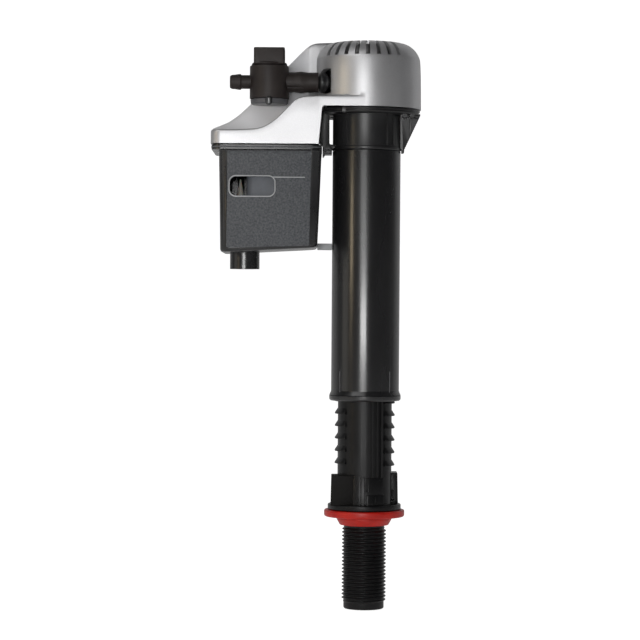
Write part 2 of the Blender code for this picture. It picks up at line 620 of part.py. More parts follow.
# distances of the cross-sections from the left end
COVER_STATIONS = [0.0, 0.5, 1.4, 2.8, 5.0, 9, 14, 18.5, 23, 27, 31, 35, 39, 43, 46.5, 49.5,
                  52.5, STEP_AT, STEP_AT + 0.01, 62, 70]
HOLLOW_STATIONS = [0.0, 1.0, 3.4, 9, 15, 20, 25, 30, 35, 40, 44, 47.4,
                   HOLLOW_STEP_AT, HOLLOW_STEP_AT + 0.01, 60, 72.2]
FRONT_EDGE = [                 # x, z of the low front shoulder
    (-77.0, 237.0), (-63.3, 237.2), (-55.6, 237.55), (-52.1, 238.3), (-48.6, 239.9),
    (-45.0, 242.5), (-41.5, 245.9), (-38.0, 249.5), (-35.6, 251.8), (-33.2, 253.0),
    (-29.3, 253.7), (-21.0, 253.95), (0.0, 254.1)]
FIN_TOP = [                    # x, z of the high fin behind it
    (-77.0, 238.8), (-75.0, 239.6), (-71.6, 241.1), (-69.2, 242.2), (-65.9, 244.4),
    (-63.6, 246.2), (-61.3, 248.3), (-58.9, 250.6), (-56.5, 253.0), (-48.0, 261.7),
    (-39.6, 270.5), (-33.6, 276.4), (-30.6, 279.1), (-28.2, 280.8), (-25.0, 281.7),
    (-18.0, 282.0), (0.0, 282.2)]
RISE_START = [                 # x, y where the shoulder starts to rise to the fin
    (-77.0, -23.0), (-70.0, -19.0), (-64.0, -13.5), (-58.0, -8.0), (-52.0, -6.6),
    (-44.0, -6.6), (-37.0, -9.0), (-30.0, -11.6), (-24.0, -12.0), (0.0, -12.0)]
RISE_WIDTH = [                 # x, width of that rise along y
    (-77.0, 8.0), (-60.0, 7.0), (-48.0, 7.5), (-38.0, 7.5), (-24.0, 6.5), (0.0, 6.5)]
EDGE_DROP = [                  # distance in from the back wall, drop below the top
    (0.0, 9.2), (0.6, 7.2), (1.1, 5.2), (2.1, 3.3), (3.6, 1.8), (6.1, 0.9), (9.1, 0.15),
    (12.0, 0.0)]


def smooth_step(t):
    t = max(0.0, min(1.0, t))
    return t * t * (3 - 2 * t)


def through(points, x):
    """Smooth curve through a few control points (monotone cubic)."""
    if x <= points[0][0]:
        return points[0][1]
    if x >= points[-1][0]:
        return points[-1][1]
    spans = list(zip(points, points[1:]))
    slopes = [(y1 - y0) / (x1 - x0) for (x0, y0), (x1, y1) in spans]
    inner = [0.0 if before * after <= 0 else 2 * before * after / (before + after)
             for before, after in zip(slopes, slopes[1:])]
    tangents = [slopes[0], *inner, slopes[-1]]
    i = next(i for i, (_, end) in enumerate(spans) if x <= end[0])
    (x0, y0), (x1, y1) = spans[i]
    width = x1 - x0
    t = (x - x0) / width
    return ((2 * t ** 3 - 3 * t ** 2 + 1) * y0 + (t ** 3 - 2 * t ** 2 + t) * width * tangents[i]
            + (-2 * t ** 3 + 3 * t ** 2) * y1 + (t ** 3 - t ** 2) * width * tangents[i + 1])


def cover_ring(x, distance, inset, drop):
    """Top of one cross-section, front wall to back wall; returns it and its half width."""
    radius = COVER_CORNER_R - inset * 0.9
    into_corner = radius - min(distance, radius)
    half = COVER_HALF - inset - (radius - math.sqrt(max(0.0, radius ** 2 - into_corner ** 2)))
    # the outer surface also rounds down over its first 2 mm
    end_drop = 0.0 if inset else 2.2 * (1 - min(1.0, distance / 2.0)) ** 2
    z_front = through(FRONT_EDGE, x) - drop - end_drop
    z_fin = through(FIN_TOP, x) - drop * 1.25 - end_drop
    start, width = through(RISE_START, x) + 0.95 * inset, through(RISE_WIDTH, x)
    edge_share = 1.0 if z_fin > 276 else max(0.18, (z_fin - 245) / 31.0)

    points = [(-half + y, z_front - z) for y, z in ((0.0, 1.7), (0.35, 0.5), (1.8, 0.0))]
    ys = []
    for i in range(6):
        y = max(start + width * i / 5, -half + 2.0 + 3 * i / 5)
        ys.append(min(y, half - 12.65 + 0.25 * i))
    ys += [half - back for back in (11.0, 8.0, 5.0, 3.0, 1.6, 0.6, 0.0)]
    for y in ys:
        z = z_front + (z_fin - z_front) * smooth_step((y - start) / width)
        if y > 0:
            z = min(z, COVER_TOP - drop - through(EDGE_DROP, half - y) * edge_share)
        points.append((y, z))
    return [(x, y, z) for y, z in points], half


def cover_loft(x_start, stations, step_at, floors, inset=0.0, drop=0.0, lean=0.0):
    """Float side of the cover; its floor changes height after step_at."""
    rings = []
    for distance in stations:
        x = x_start + distance
        ring, half = cover_ring(x, distance, inset, drop)
        floor = floors[0] if distance <= step_at else floors[1]
        foot_x = x + (lean if distance == step_at else 0.0)
        rings.append(ring + [(foot_x, half, floor), (foot_x, -half, floor)])
    return loft(rings)


def build_head_cover():
    cover = piece("head_cover", cover_loft(
        COVER_X0, COVER_STATIONS, STEP_AT, (COVER_SKIRT_Z, COVER_RIM_Z), lean=-1.7),
        "upper", SILVER)
    add(cover, "tool_cover_dome", lathe([
        (0, COVER_TOP), (15.0, COVER_TOP), (18.0, 281.9), (21.0, 280.9), (23.5, 279.0),
        (25.0, 277.1), (26.0, 275.1), (26.5, 273.0), (26.85, 266.0), (COVER_R, COVER_RIM_Z),
        (0, COVER_RIM_Z)], 40))
    cut(cover, "tool_cover_hollow", cover_loft(
        COVER_X0 + COVER_WALL, HOLLOW_STATIONS, HOLLOW_STEP_AT, (222.0, 248.0),
        inset=COVER_WALL, drop=COVER_ROOF))
    cut(cover, "tool_dome_hollow", lathe([
        (0, 280.3), (15.0, 280.2), (20.0, 279.0), (23.4, 275.8), (24.7, 272.4),
        (25.3, 238.0), (0, 238.0)], 28))
    # hole for the refill nipple
    cut(cover, "tool_cover_hole",
        turned([(0, 0), (6.3, 0), (6.3, 14.0), (0, 14.0)],
               (-18.15, REFILL_Y - 0.5, REFILL_Z + 0.6), (-1, 0, 0), 24))
    # radial slots over the dome's shoulder, eight in front and eight behind
    slot = [(16.4, -0.8), (27.8, -1.05), (27.8, 1.05), (16.4, 0.8)]
    angles = ([-90.4 + 12 * (i - 4) for i in range(8)]
              + [90.4 + 12 * (i - 3) for i in range(8)])
    cut(cover, "tool_cover_vents", *[prism(rotated(slot, angle), 274.4, 285) for angle in angles])


# ---------------------------------------------------------------- refill valve
REFILL_R, REFILL_IN_R = 9.65, 5.9
PLUG_R = 5.55                  # part of the knob that turns in the body
GRIP_HALF_X, GRIP_HALF_Y = 7.6, 7.2


def refill_rod(radius, x0, x1, segments):
    """Bar along X at the refill valve's port height."""
    return rod(radius, (x0, REFILL_Y, REFILL_Z), (x1, REFILL_Y, REFILL_Z), segments)


def build_refill_body():
    valve = piece("refill_valve_body", lathe([
        (REFILL_IN_R, 269.0), (8.9, 269.0), (REFILL_R, 268.4), (REFILL_R, 252.8), (8.2, 252.8),
        (8.2, 254.6), (REFILL_IN_R, 254.6)], 22, REFILL_X, REFILL_Y), "upper", DARK)
    # wide spigot towards the cover, narrow one away from it
    add(valve, "tool_refill_spigots",
        turned([(0, 0), (4.9, 0), (4.9, 5.0), (5.2, 7.6), (4.9, 11.0), (4.9, 16.2), (0, 16.2)],
               (REFILL_X + 8.0, REFILL_Y, REFILL_Z), (1, 0, 0), 16),
        turned([(0, 0), (3.3, 0), (3.3, 5.6), (3.95, 6.3), (3.6, 8.5), (3.4, 10.4),
                (2.9, 11.4), (0, 11.4)],
               (REFILL_X - 8.0, REFILL_Y, REFILL_Z), (-1, 0, 0), 14))
    cut(valve, "tool_refill_bores",
        refill_rod(3.75, REFILL_X + 12.0, -20.0, 18),
        refill_rod(2.0, REFILL_X - 24.0, REFILL_X - 4.0, 14))
    cut(valve, "tool_refill_cross", refill_rod(2.0, REFILL_X + 4.0, REFILL_X + 12.4, 14))


def build_refill_knob():
    knob = piece("refill_knob", lathe([
        (0, 273.1), (6.4, 273.1), (6.9, 269.5), (PLUG_R, 269.5), (PLUG_R, 267.9), (4.9, 267.9),
        (4.9, 266.3), (PLUG_R, 266.3), (PLUG_R, 255.2), (0, 255.2)],
        18, REFILL_X, REFILL_Y), "knob_axis", DARK)
    grip = round_rect(REFILL_X - GRIP_HALF_X, REFILL_X + GRIP_HALF_X,
                      REFILL_Y - GRIP_HALF_Y, REFILL_Y + GRIP_HALF_Y, 1.2, 2)
    add(knob, "tool_knob_grip", prism(grip, 270.0, 277.6))
    cut(knob, "tool_knob_port", refill_rod(1.8, REFILL_X - 12, REFILL_X + 12, 14))


def build_refill_rings():
    piece("refill_knob_oring", lathe([
        (5.2, 267.3), (5.5, 267.6), (5.75, 267.3), (5.75, 266.9), (5.5, 266.6), (5.2, 266.9)],
        16, REFILL_X, REFILL_Y), "upper", RUBBER)
    piece("refill_retainer", lathe([
        (0, 252.5), (7.4, 252.5), (7.4, 254.3), (7.9, 254.3), (7.9, 252.5), (9.2, 252.5),
        (9.0, 250.6), (8.4, 250.2), (0, 250.2)], 20, REFILL_X, REFILL_Y), "upper", DARK)
    piece("refill_nipple_oring", turned([
        (2.75, 6.5), (3.1, 6.25), (3.45, 6.5), (3.45, 7.5), (3.1, 7.75), (2.75, 7.5)],
        NIPPLE, (-1, 0, 0), 14), "upper", RUBBER)


for build in (build_shank, build_washer, build_filter, build_inner_riser, build_outer_tube,
              build_valve_body, build_main_valve, build_pressure_cover, build_gasket_and_pin,
              build_float_arm, build_level_rod, build_float, build_float_chamber,
              build_check_disc_and_clip, build_head_cover, build_refill_body,
              build_refill_knob, build_refill_rings):
    build()
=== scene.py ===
"""Looks of a toilet fill valve: detailed outer surfaces, plastics, rubber and a soft studio.

Parts are drawn in millimetres, +Z up, with the riser's centre line at x = y = 0; piece() then
moves them AXIS_X along +X and scales them to metres.  The front faces -Y and the float chamber
lies on the left, towards -X.
"""
import math

import bmesh
import bpy
from mathutils import Matrix, Vector


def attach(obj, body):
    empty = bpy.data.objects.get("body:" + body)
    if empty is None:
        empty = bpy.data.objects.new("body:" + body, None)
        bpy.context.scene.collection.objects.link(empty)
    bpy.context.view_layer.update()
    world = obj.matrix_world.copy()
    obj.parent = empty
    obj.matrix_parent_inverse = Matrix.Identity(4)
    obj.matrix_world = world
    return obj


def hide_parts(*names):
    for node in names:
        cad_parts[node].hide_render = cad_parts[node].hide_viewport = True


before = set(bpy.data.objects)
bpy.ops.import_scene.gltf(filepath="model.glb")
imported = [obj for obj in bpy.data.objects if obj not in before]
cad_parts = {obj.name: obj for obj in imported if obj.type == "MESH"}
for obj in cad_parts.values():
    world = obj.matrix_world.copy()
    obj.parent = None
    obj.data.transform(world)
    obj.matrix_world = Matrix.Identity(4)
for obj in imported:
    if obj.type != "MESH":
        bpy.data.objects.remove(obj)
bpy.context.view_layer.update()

MM = 0.001
AXIS_X = 24.95            # riser's centre line in the product's frame, mm
ADD, CUT = 'UNION', 'DIFFERENCE'
scene = bpy.context.scene

# ------------------------------------------------------------------ shader helpers


def wire(node, inputs):
    """Set a node's inputs; a socket is linked, anything else becomes the default value."""
    for key, value in inputs.items():
        if isinstance(value, bpy.types.NodeSocket):
            node.id_data.links.new(value, node.inputs[key])
        else:
            node.inputs[key].default_value = value


def add_node(tree, kind, inputs=None, **properties):
    """New shader node; properties come first because some decide which inputs exist."""
    node = tree.nodes.new("ShaderNode" + kind)
    for key, value in properties.items():
        setattr(node, key, value)
    wire(node, inputs or {})
    return node


def new_material(name):
    material = bpy.data.materials.new(name)
    material.use_nodes = True
    tree = material.node_tree
    return material, tree, tree.nodes["Principled BSDF"]


def noise(tree, scale, detail, roughness, stretch=(1, 1, 1)):
    coords = add_node(tree, "TexCoord")
    mapping = add_node(tree, "Mapping", {"Vector": coords.outputs["Object"], "Scale": stretch})
    texture = add_node(tree, "TexNoise", {
        "Vector": mapping.outputs["Vector"], "Scale": scale, "Detail": detail,
        "Roughness": roughness})
    return texture.outputs["Fac"]


def ramp(tree, factor, stops):
    """Colour ramp through stops of (position, rgb)."""
    node = add_node(tree, "ValToRGB", {"Fac": factor})
    elements = node.color_ramp.elements
    for position, _ in stops[1:-1]:
        elements.new(position)
    for element, (position, colour) in zip(elements, stops):
        element.position = position
        element.color = (*colour, 1)
    return node.outputs["Color"]


def span(tree, value, low, high, start=0.3, end=0.7):
    """Map start..end onto low..high; 0.3 to 0.7 is where most noise values lie."""
    node = add_node(tree, "MapRange", {
        "From Min": start, "From Max": end, "To Min": low, "To Max": high, "Value": value})
    return node.outputs["Result"]


def bump(tree, height, strength, distance, normal=None):
    node = add_node(tree, "Bump", {"Strength": strength, "Distance": distance, "Height": height})
    if normal is not None:
        wire(node, {"Normal": normal})
    return node.outputs["Normal"]


# ------------------------------------------------------------------ materials


def moulded(name, dark, light, roughness, grain, flow, specular=0.5, metallic=0.0, coat=0.0,
            stretch=(1, 1, 1), subsurface=0.0):
    """Moulded plastic, rubber or drawn metal.

    roughness = (mean, drift); grain and flow = (noise scale, bump strength) of the fine grain
    and of the broad marks that also vary the colour and the roughness.
    """
    material, tree, shader = new_material(name)
    mean, drift = roughness
    broad = noise(tree, flow[0], detail=4.0, roughness=0.55, stretch=stretch)
    fine = noise(tree, grain[0], detail=2.0, roughness=0.6)
    grain_normal = bump(tree, fine, grain[1], distance=0.00004)
    wire(shader, {
        "Base Color": ramp(tree, broad, [(0.3, dark), (0.7, light)]),
        "Roughness": span(tree, broad, mean - drift, mean + drift),
        "Normal": bump(tree, broad, flow[1], distance=0.0002, normal=grain_normal),
        "Specular IOR Level": specular,
        "Metallic": metallic})
    if coat:
        wire(shader, {"Coat Weight": coat, "Coat Roughness": 0.12})
    if subsurface:
        wire(shader, {"Subsurface Weight": subsurface, "Subsurface Scale": 0.002})
    return material


TUBE_BLACK = moulded(
    "tube_black_gloss", dark=(0.010, 0.010, 0.0105), light=(0.016, 0.016, 0.017),
    roughness=(0.27, 0.05), grain=(1800, 0.05), flow=(45, 0.18), specular=0.6, coat=0.35,
    stretch=(1, 1, 0.25))
BODY_BLACK = moulded(
    "body_black", dark=(0.009, 0.009, 0.0095), light=(0.017, 0.017, 0.018),
    roughness=(0.34, 0.05), grain=(2000, 0.10), flow=(70, 0.15), specular=0.55)
SHANK_BLACK = moulded(
    "shank_black", dark=(0.006, 0.006, 0.0063), light=(0.011, 0.011, 0.0118),
    roughness=(0.33, 0.06), grain=(2200, 0.14), flow=(90, 0.2), specular=0.30)
BLOCK_BLACK = moulded(
    "block_black_matte", dark=(0.0055, 0.0048, 0.0045), light=(0.0095, 0.0085, 0.008),
    roughness=(0.55, 0.05), grain=(2200, 0.2), flow=(90, 0.15), specular=0.16)
CHAMBER_BLACK = moulded(
    "chamber_black_gloss", dark=(0.010, 0.010, 0.011), light=(0.018, 0.018, 0.019),
    roughness=(0.27, 0.04), grain=(1500, 0.04), flow=(50, 0.10), specular=0.6, coat=0.2)
CHAMBER_PANEL = moulded(
    "chamber_panel_textured", dark=(0.046, 0.049, 0.054), light=(0.130, 0.138, 0.150),
    roughness=(0.58, 0.05), grain=(2600, 0.75), flow=(1100, 0.25), specular=0.45)
REFILL_BROWN = moulded(
    "refill_brown_black", dark=(0.020, 0.0155, 0.0145), light=(0.034, 0.027, 0.025),
    roughness=(0.48, 0.06), grain=(2200, 0.22), flow=(120, 0.12), specular=0.34)
RETAINER_GREY = moulded(
    "retainer_grey_black", dark=(0.080, 0.080, 0.086), light=(0.120, 0.120, 0.128),
    roughness=(0.42, 0.05), grain=(2000, 0.15), flow=(120, 0.12))
RED_RUBBER = moulded(
    "washer_red_rubber", dark=(0.50, 0.010, 0.004), light=(0.64, 0.018, 0.008),
    roughness=(0.36, 0.06), grain=(1200, 0.18), flow=(160, 0.25), specular=0.45,
    subsurface=0.05)
SEAL_RUBBER = moulded(
    "seal_black_rubber", dark=(0.016, 0.016, 0.017), light=(0.030, 0.030, 0.031),
    roughness=(0.62, 0.06), grain=(1600, 0.3), flow=(200, 0.3), specular=0.35)
NYLON = moulded(
    "natural_nylon_matte", dark=(0.66, 0.63, 0.55), light=(0.80, 0.78, 0.71),
    roughness=(0.42, 0.05), grain=(1500, 0.1), flow=(120, 0.12), subsurface=0.15)
FLOAT_GREY = moulded(
    "float_grey_matte", dark=(0.12, 0.13, 0.15), light=(0.17, 0.185, 0.21),
    roughness=(0.50, 0.05), grain=(1800, 0.2), flow=(120, 0.12))
LIGHT_GREY = moulded(
    "clip_light_grey", dark=(0.40, 0.41, 0.42), light=(0.52, 0.53, 0.54),
    roughness=(0.45, 0.05), grain=(1800, 0.15), flow=(120, 0.12))
STEEL = moulded(
    "pin_steel", dark=(0.50, 0.50, 0.50), light=(0.62, 0.62, 0.62),
    roughness=(0.25, 0.05), grain=(1500, 0.05), flow=(600, 0.05), metallic=1.0,
    stretch=(1, 0.05, 1))


def silver_flake():
    """Plastic with aluminium flake: faint sparkle, and a grain that shows close up."""
    material, tree, shader = new_material("cover_silver_flake")
    coords = add_node(tree, "TexCoord").outputs["Object"]
    cells = add_node(tree, "TexVoronoi", {"Scale": 5200.0, "Vector": coords})
    flake = add_node(tree, "SeparateColor", {"Color": cells.outputs["Color"]})
    broad = noise(tree, 40.0, detail=4.0, roughness=0.55)
    fine = noise(tree, 1600.0, detail=3.0, roughness=0.65)
    tint = ramp(tree, broad, [(0.3, (0.60, 0.60, 0.61)), (0.7, (0.67, 0.67, 0.68))])
    sparkle = ramp(tree, flake.outputs["Red"], [(0.0, (0.90, 0.90, 0.90)), (1.0, (1.0, 1.0, 1.0))])
    flaked = add_node(tree, "Mix", {"Factor": 1.0, "A": tint, "B": sparkle},
                      data_type='RGBA', blend_type='MULTIPLY')
    place = add_node(tree, "SeparateXYZ", {"Vector": coords})

    def step(axis, start, end):
        """Smooth 0 to 1 along one axis, between two places in metres."""
        node = add_node(tree, "MapRange", {
            "From Min": start, "From Max": end, "Value": place.outputs[axis]},
            interpolation_type='SMOOTHSTEP')
        return node.outputs["Result"]

    def times(first, second):
        return add_node(tree, "Math", {0: first, 1: second}, operation='MULTIPLY').outputs["Value"]

    # Painted light: the float side behind its front ledge gets a paler colour and less metal, so
    # its rise reads as brightly lit.
    float_side_x = step("X", (AXIS_X - 27.0) * MM, (AXIS_X - 31.0) * MM)
    painted_light_mask = times(times(float_side_x, step("Y", -0.0262, -0.0225)), step("Z", 0.2365, 0.2385))
    colour = add_node(tree, "Mix", {
        "Factor": painted_light_mask, "A": flaked.outputs["Result"], "B": (0.88, 0.88, 0.90, 1)},
        data_type='RGBA')
    flake_normal = bump(tree, flake.outputs["Green"], strength=0.10, distance=0.00002)
    wire(shader, {
        "Base Color": colour.outputs["Result"],
        "Metallic": span(tree, painted_light_mask, 0.78, 0.10),
        "Roughness": span(tree, broad, 0.36, 0.42),
        "Normal": bump(tree, fine, strength=0.14, distance=0.00003, normal=flake_normal),
        "Coat Weight": 0.15,
        "Coat Roughness": 0.35})
    return material


SILVER = silver_flake()

# ------------------------------------------------------------------ outlines


def fillet(corners, steps=4, least=18.0):
    """Round a closed outline of (x, y, radius) corners that turn by `least` degrees or more."""
    points = []
    for i, (x, y, radius) in enumerate(corners):
        before, after = corners[i - 1], corners[(i + 1) % len(corners)]
        back = Vector((before[0] - x, before[1] - y))
        ahead = Vector((after[0] - x, after[1] - y))
        on_axis = abs(x) < 1e-9 and (abs(before[0]) < 1e-9 or abs(after[0]) < 1e-9)
        if radius <= 0 or on_axis or back.length < 1e-6 or ahead.length < 1e-6:
            points.append((x, y))
            continue
        angle = back.angle(ahead)
        if math.degrees(math.pi - angle) < least:
            points.append((x, y))
            continue
        reach = min(radius / math.tan(angle / 2), 0.45 * back.length, 0.45 * ahead.length)
        corner = Vector((x, y))
        start = corner + back.normalized() * reach
        end = corner + ahead.normalized() * reach
        for k in range(steps + 1):
            t = k / steps
            point = start * (1 - t) ** 2 + corner * 2 * t * (1 - t) + end * t ** 2
            points.append((point.x, point.y))
    return points


def round_rect(x0, x1, y0, y1, radius, steps=8):
    points = []
    for x, y, start in ((x1 - radius, y1 - radius, 0), (x0 + radius, y1 - radius, 90),
                        (x0 + radius, y0 + radius, 180), (x1 - radius, y0 + radius, 270)):
        for i in range(steps + 1):
            angle = math.radians(start + 90 * i / steps)
            points.append((x + radius * math.cos(angle), y + radius * math.sin(angle)))
    return points


def sector(inner, outer, start, end, steps):
    """Piece of a ring between two angles in degrees."""
    points = []
    for radius, first, last in ((outer, start, end), (inner, end, start)):
        for i in range(steps + 1):
            angle = math.radians(first + (last - first) * i / steps)
            points.append((radius * math.cos(angle), radius * math.sin(angle)))
    return points


# ------------------------------------------------------------------ solids (all bmesh, in mm)


def fix(solid):
    """Turn every face outwards."""
    bmesh.ops.recalc_face_normals(solid, faces=solid.faces[:])
    if solid.calc_volume(signed=True) < 0:
        bmesh.ops.reverse_faces(solid, faces=solid.faces[:])
    return solid


def lathe(profile, segments=96, x=0.0, y=0.0):
    """Turn a closed (radius, z) outline about a vertical axis."""
    solid = bmesh.new()
    verts = [solid.verts.new((radius, 0.0, z)) for radius, z in profile]
    edges = []
    for i, vert in enumerate(verts):
        j = (i + 1) % len(verts)
        if abs(profile[i][0]) < 1e-9 and abs(profile[j][0]) < 1e-9:
            continue
        edges.append(solid.edges.new((vert, verts[j])))
    bmesh.ops.spin(solid, geom=solid.verts[:] + edges, cent=(0, 0, 0), axis=(0, 0, 1),
                   angle=2 * math.pi, steps=segments, use_merge=True)
    bmesh.ops.remove_doubles(solid, verts=solid.verts[:], dist=1e-3)
    bmesh.ops.translate(solid, vec=(x, y, 0), verts=solid.verts[:])
    return fix(solid)


def prism(outline, z0, z1, bevel=0.0, steps=3):
    """Extrude an XY outline along Z and bevel its sharp edges."""
    solid = bmesh.new()
    face = solid.faces.new([solid.verts.new((x, y, z0)) for x, y in outline])
    grown = bmesh.ops.extrude_face_region(solid, geom=[face])["geom"]
    bmesh.ops.translate(solid, vec=(0, 0, z1 - z0),
                        verts=[item for item in grown if isinstance(item, bmesh.types.BMVert)])
    fix(solid)
    if bevel:
        edges = [edge for edge in solid.edges if edge.calc_face_angle(0) > math.radians(28)]
        bmesh.ops.bevel(solid, geom=edges, offset=bevel, segments=steps, profile=0.5,
                        affect='EDGES', clamp_overlap=True)
    return solid


def prism_xz(outline, y0, y1, bevel=0.0, steps=3):
    """Extrude an XZ outline along Y."""
    solid = prism(outline, y0, y1, bevel, steps)
    for vert in solid.verts:
        vert.co = Vector((vert.co.x, vert.co.z, vert.co.y))
    return fix(solid)


def box(x0, x1, y0, y1, z0, z1, bevel=0.0, steps=3):
    return prism([(x0, y0), (x1, y0), (x1, y1), (x0, y1)], z0, z1, bevel, steps)


def arc_block(inner, outer, start, end, arc_steps, z0, z1, bevel=0.0, steps=2):
    """Upright block that is a ring sector in plan."""
    return prism(sector(inner, outer, start, end, arc_steps), z0, z1, bevel, steps)


def turned(profile, start, direction, segments=64):
    """Lathe a (radius, distance) outline along any direction."""
    solid = lathe(profile, segments)
    turn = Vector(direction).to_track_quat('Z', 'Y').to_matrix().to_4x4()
    bmesh.ops.transform(solid, matrix=Matrix.Translation(Vector(start)) @ turn,
                        verts=solid.verts[:])
    return fix(solid)


def rod(radius, start, end, segments=48):
    way = Vector(end) - Vector(start)
    return turned([(0, 0), (radius, 0), (radius, way.length), (0, way.length)],
                  start, way, segments)


def loft(rings, closed=False):
    """Skin over rings of equal count; closed joins last to first, otherwise the ends are capped."""
    solid = bmesh.new()
    rows = [[solid.verts.new(point) for point in ring] for ring in rings]
    for row, following in zip(rows, rows[1:] + (rows[:1] if closed else [])):
        for i in range(len(row)):
            j = (i + 1) % len(row)
            solid.faces.new((row[i], row[j], following[j], following[i]))
    if not closed:
        solid.faces.new(rows[0][::-1])
        solid.faces.new(rows[-1])
    return fix(solid)


def join(*parts):
    """Several solids in one bmesh, without a boolean."""
    joined = bmesh.new()
    for part in parts:
        mesh = mesh_of(part)
        joined.from_mesh(mesh)
        bpy.data.meshes.remove(mesh)
    return joined


# ------------------------------------------------------------------ meshes and booleans


def add_object(name, data):
    ob = bpy.data.objects.new(name, data)
    scene.collection.objects.link(ob)
    return ob


def mesh_of(solid, name="tmp"):
    mesh = bpy.data.meshes.new(name)
    solid.to_mesh(mesh)
    solid.free()
    return mesh


def solid_of(*meshes):
    solid = bmesh.new()
    for mesh in meshes:
        solid.from_mesh(mesh)
    return solid


def evaluated_mesh(ob):
    bpy.context.view_layer.update()
    depsgraph = bpy.context.evaluated_depsgraph_get()
    return bpy.data.meshes.new_from_object(ob.evaluated_get(depsgraph))


def measure(mesh):
    """Volume and number of edges that don't join exactly two faces."""
    solid = solid_of(mesh)
    volume = solid.calc_volume(signed=True)
    open_edges = sum(1 for edge in solid.edges if len(edge.link_faces) != 2)
    solid.free()
    return volume, open_edges


def clean(mesh):
    solid = solid_of(mesh)
    bmesh.ops.remove_doubles(solid, verts=solid.verts[:], dist=0.0015)
    bmesh.ops.dissolve_degenerate(solid, dist=0.001, edges=solid.edges[:])
    solid.to_mesh(mesh)
    solid.free()
    return mesh


def combine(mesh, tool, operation):
    """Exact boolean, kept only if its volume is plausible, with self-intersection as second try.

    If both fail, a union keeps the tool as its own closed shell and a cut is left out.
    """
    tool_mesh = mesh_of(tool)
    before, open_before = measure(mesh)
    tool_volume, _ = measure(tool_mesh)
    target = add_object("target", mesh)
    tool_object = add_object("tool", tool_mesh)
    best, fewest = None, 1e9
    for use_self in (False, True):
        target.modifiers.clear()
        boolean = target.modifiers.new("cut", 'BOOLEAN')
        boolean.operation = operation
        boolean.solver = 'EXACT'
        boolean.object = tool_object
        boolean.use_self = use_self
        result = clean(evaluated_mesh(target))
        volume, open_edges = measure(result)
        if operation == ADD:
            plausible = (volume >= max(before, tool_volume) - 0.02 * abs(before) - 0.5
                         and volume <= before + tool_volume + 1.0)
        else:
            plausible = (before - tool_volume - 1.0 <= volume <= before + 0.5
                         and volume > 0.02 * before)
        if plausible and open_edges < fewest:
            best, fewest = result, open_edges
        if plausible and open_edges <= open_before:
            break
    if best is None:
        best = mesh_of(solid_of(mesh, tool_mesh)) if operation == ADD else mesh.copy()
    bpy.data.objects.remove(target, do_unlink=True)
    bpy.data.objects.remove(tool_object, do_unlink=True)
    bpy.data.meshes.remove(tool_mesh)
    bpy.data.meshes.remove(mesh)
    return best


def piece(name, body, material, solid, changes=(), replaces=None, sharp=30):
    """Finish a solid: apply its (operation, tool) changes, then let the object ride on a body."""
    mesh = mesh_of(fix(solid), name)
    for operation, tool in changes:
        mesh = combine(mesh, tool, operation)
    mesh = clean(mesh)
    mesh.name = name
    ob = add_object(name, mesh)
    mesh.transform(Matrix.Scale(MM, 4) @ Matrix.Translation(Vector((AXIS_X, 0, 0))))
    mesh.materials.clear()
    mesh.materials.append(material)
    mesh.shade_smooth()
    mesh.set_sharp_from_angle(angle=math.radians(sharp))
    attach(ob, body)
    if replaces:
        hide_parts(replaces)


# ------------------------------------------------------------------ shank, flange, lower riser
RISER_R = 13.5
FLANGE_R, FLANGE_Z0, FLANGE_Z1 = 18.3, 49.8, 52.4
RACK_TIP_R, RACK_Z0, RACK_PITCH, RACK_ROWS, TOOTH_H = 15.0, 72.55, 6.2, 18, 3.0
RACK_STAGGER = 0.95       # the right-hand rack sits this much lower
THREAD_MAJOR, THREAD_MINOR, PITCH = 11.1, 10.12, 1.814
THREAD_Z0, THREAD_Z1 = 3.2, 41.0
THREAD_SHAPE = [0.0, 0.12, 0.62, 1.0, 1.0, 0.62, 0.12, 0.0]   # height over one pitch
ROWS_PER_PITCH, THREAD_SEGMENTS = 8, 96
SHANK_BORE = 7.0
BLOCK_TOP_LEFT, BLOCK_TOP_RIGHT = 67.2, 67.7
BLOCK_R = 12.9            # inner face of the wrench blocks, buried in the riser wall


def smooth01(t):
    t = max(0.0, min(1.0, t))
    return t * t * (3 - 2 * t)


def thread_radius(angle, z):
    """Right-handed helix that fades out at both ends."""
    place = ((z / PITCH) - angle / (2 * math.pi)) % 1.0 * len(THREAD_SHAPE)
    i = int(place) % len(THREAD_SHAPE)
    following = THREAD_SHAPE[(i + 1) % len(THREAD_SHAPE)]
    height = THREAD_SHAPE[i] + (following - THREAD_SHAPE[i]) * (place - int(place))
    fade = smooth01((z - THREAD_Z0) / 1.5) * smooth01((THREAD_Z1 - z) / 1.6)
    return THREAD_MINOR + (THREAD_MAJOR - THREAD_MINOR) * height * fade


def threaded_shank():
    def ring(z, radius_at):
        points = []
        for i in range(THREAD_SEGMENTS):
            angle = 2 * math.pi * i / THREAD_SEGMENTS
            radius = radius_at(angle)
            points.append((radius * math.cos(angle), radius * math.sin(angle), z))
        return points

    def plain_rings(stations):
        return [ring(z, lambda angle: radius) for radius, z in stations]

    row_height = PITCH / ROWS_PER_PITCH
    rings = plain_rings([(THREAD_MINOR - 0.55, 0.0), (THREAD_MINOR - 0.15, 0.25),
                         (THREAD_MINOR, 0.7), (THREAD_MINOR, 2.4)])
    for i in range(int(round((THREAD_Z1 - THREAD_Z0) / row_height)) + 1):
        z = THREAD_Z0 + i * row_height
        rings.append(ring(z, lambda angle: thread_radius(angle, z)))
    # plain neck, then down the bore
    rings += plain_rings([(10.35, 42.0), (10.6, 42.6), (10.6, 51.0), (SHANK_BORE, 51.0),
                          (SHANK_BORE, 0.5), (7.4, 0.0)])
    return loft(rings, closed=True)


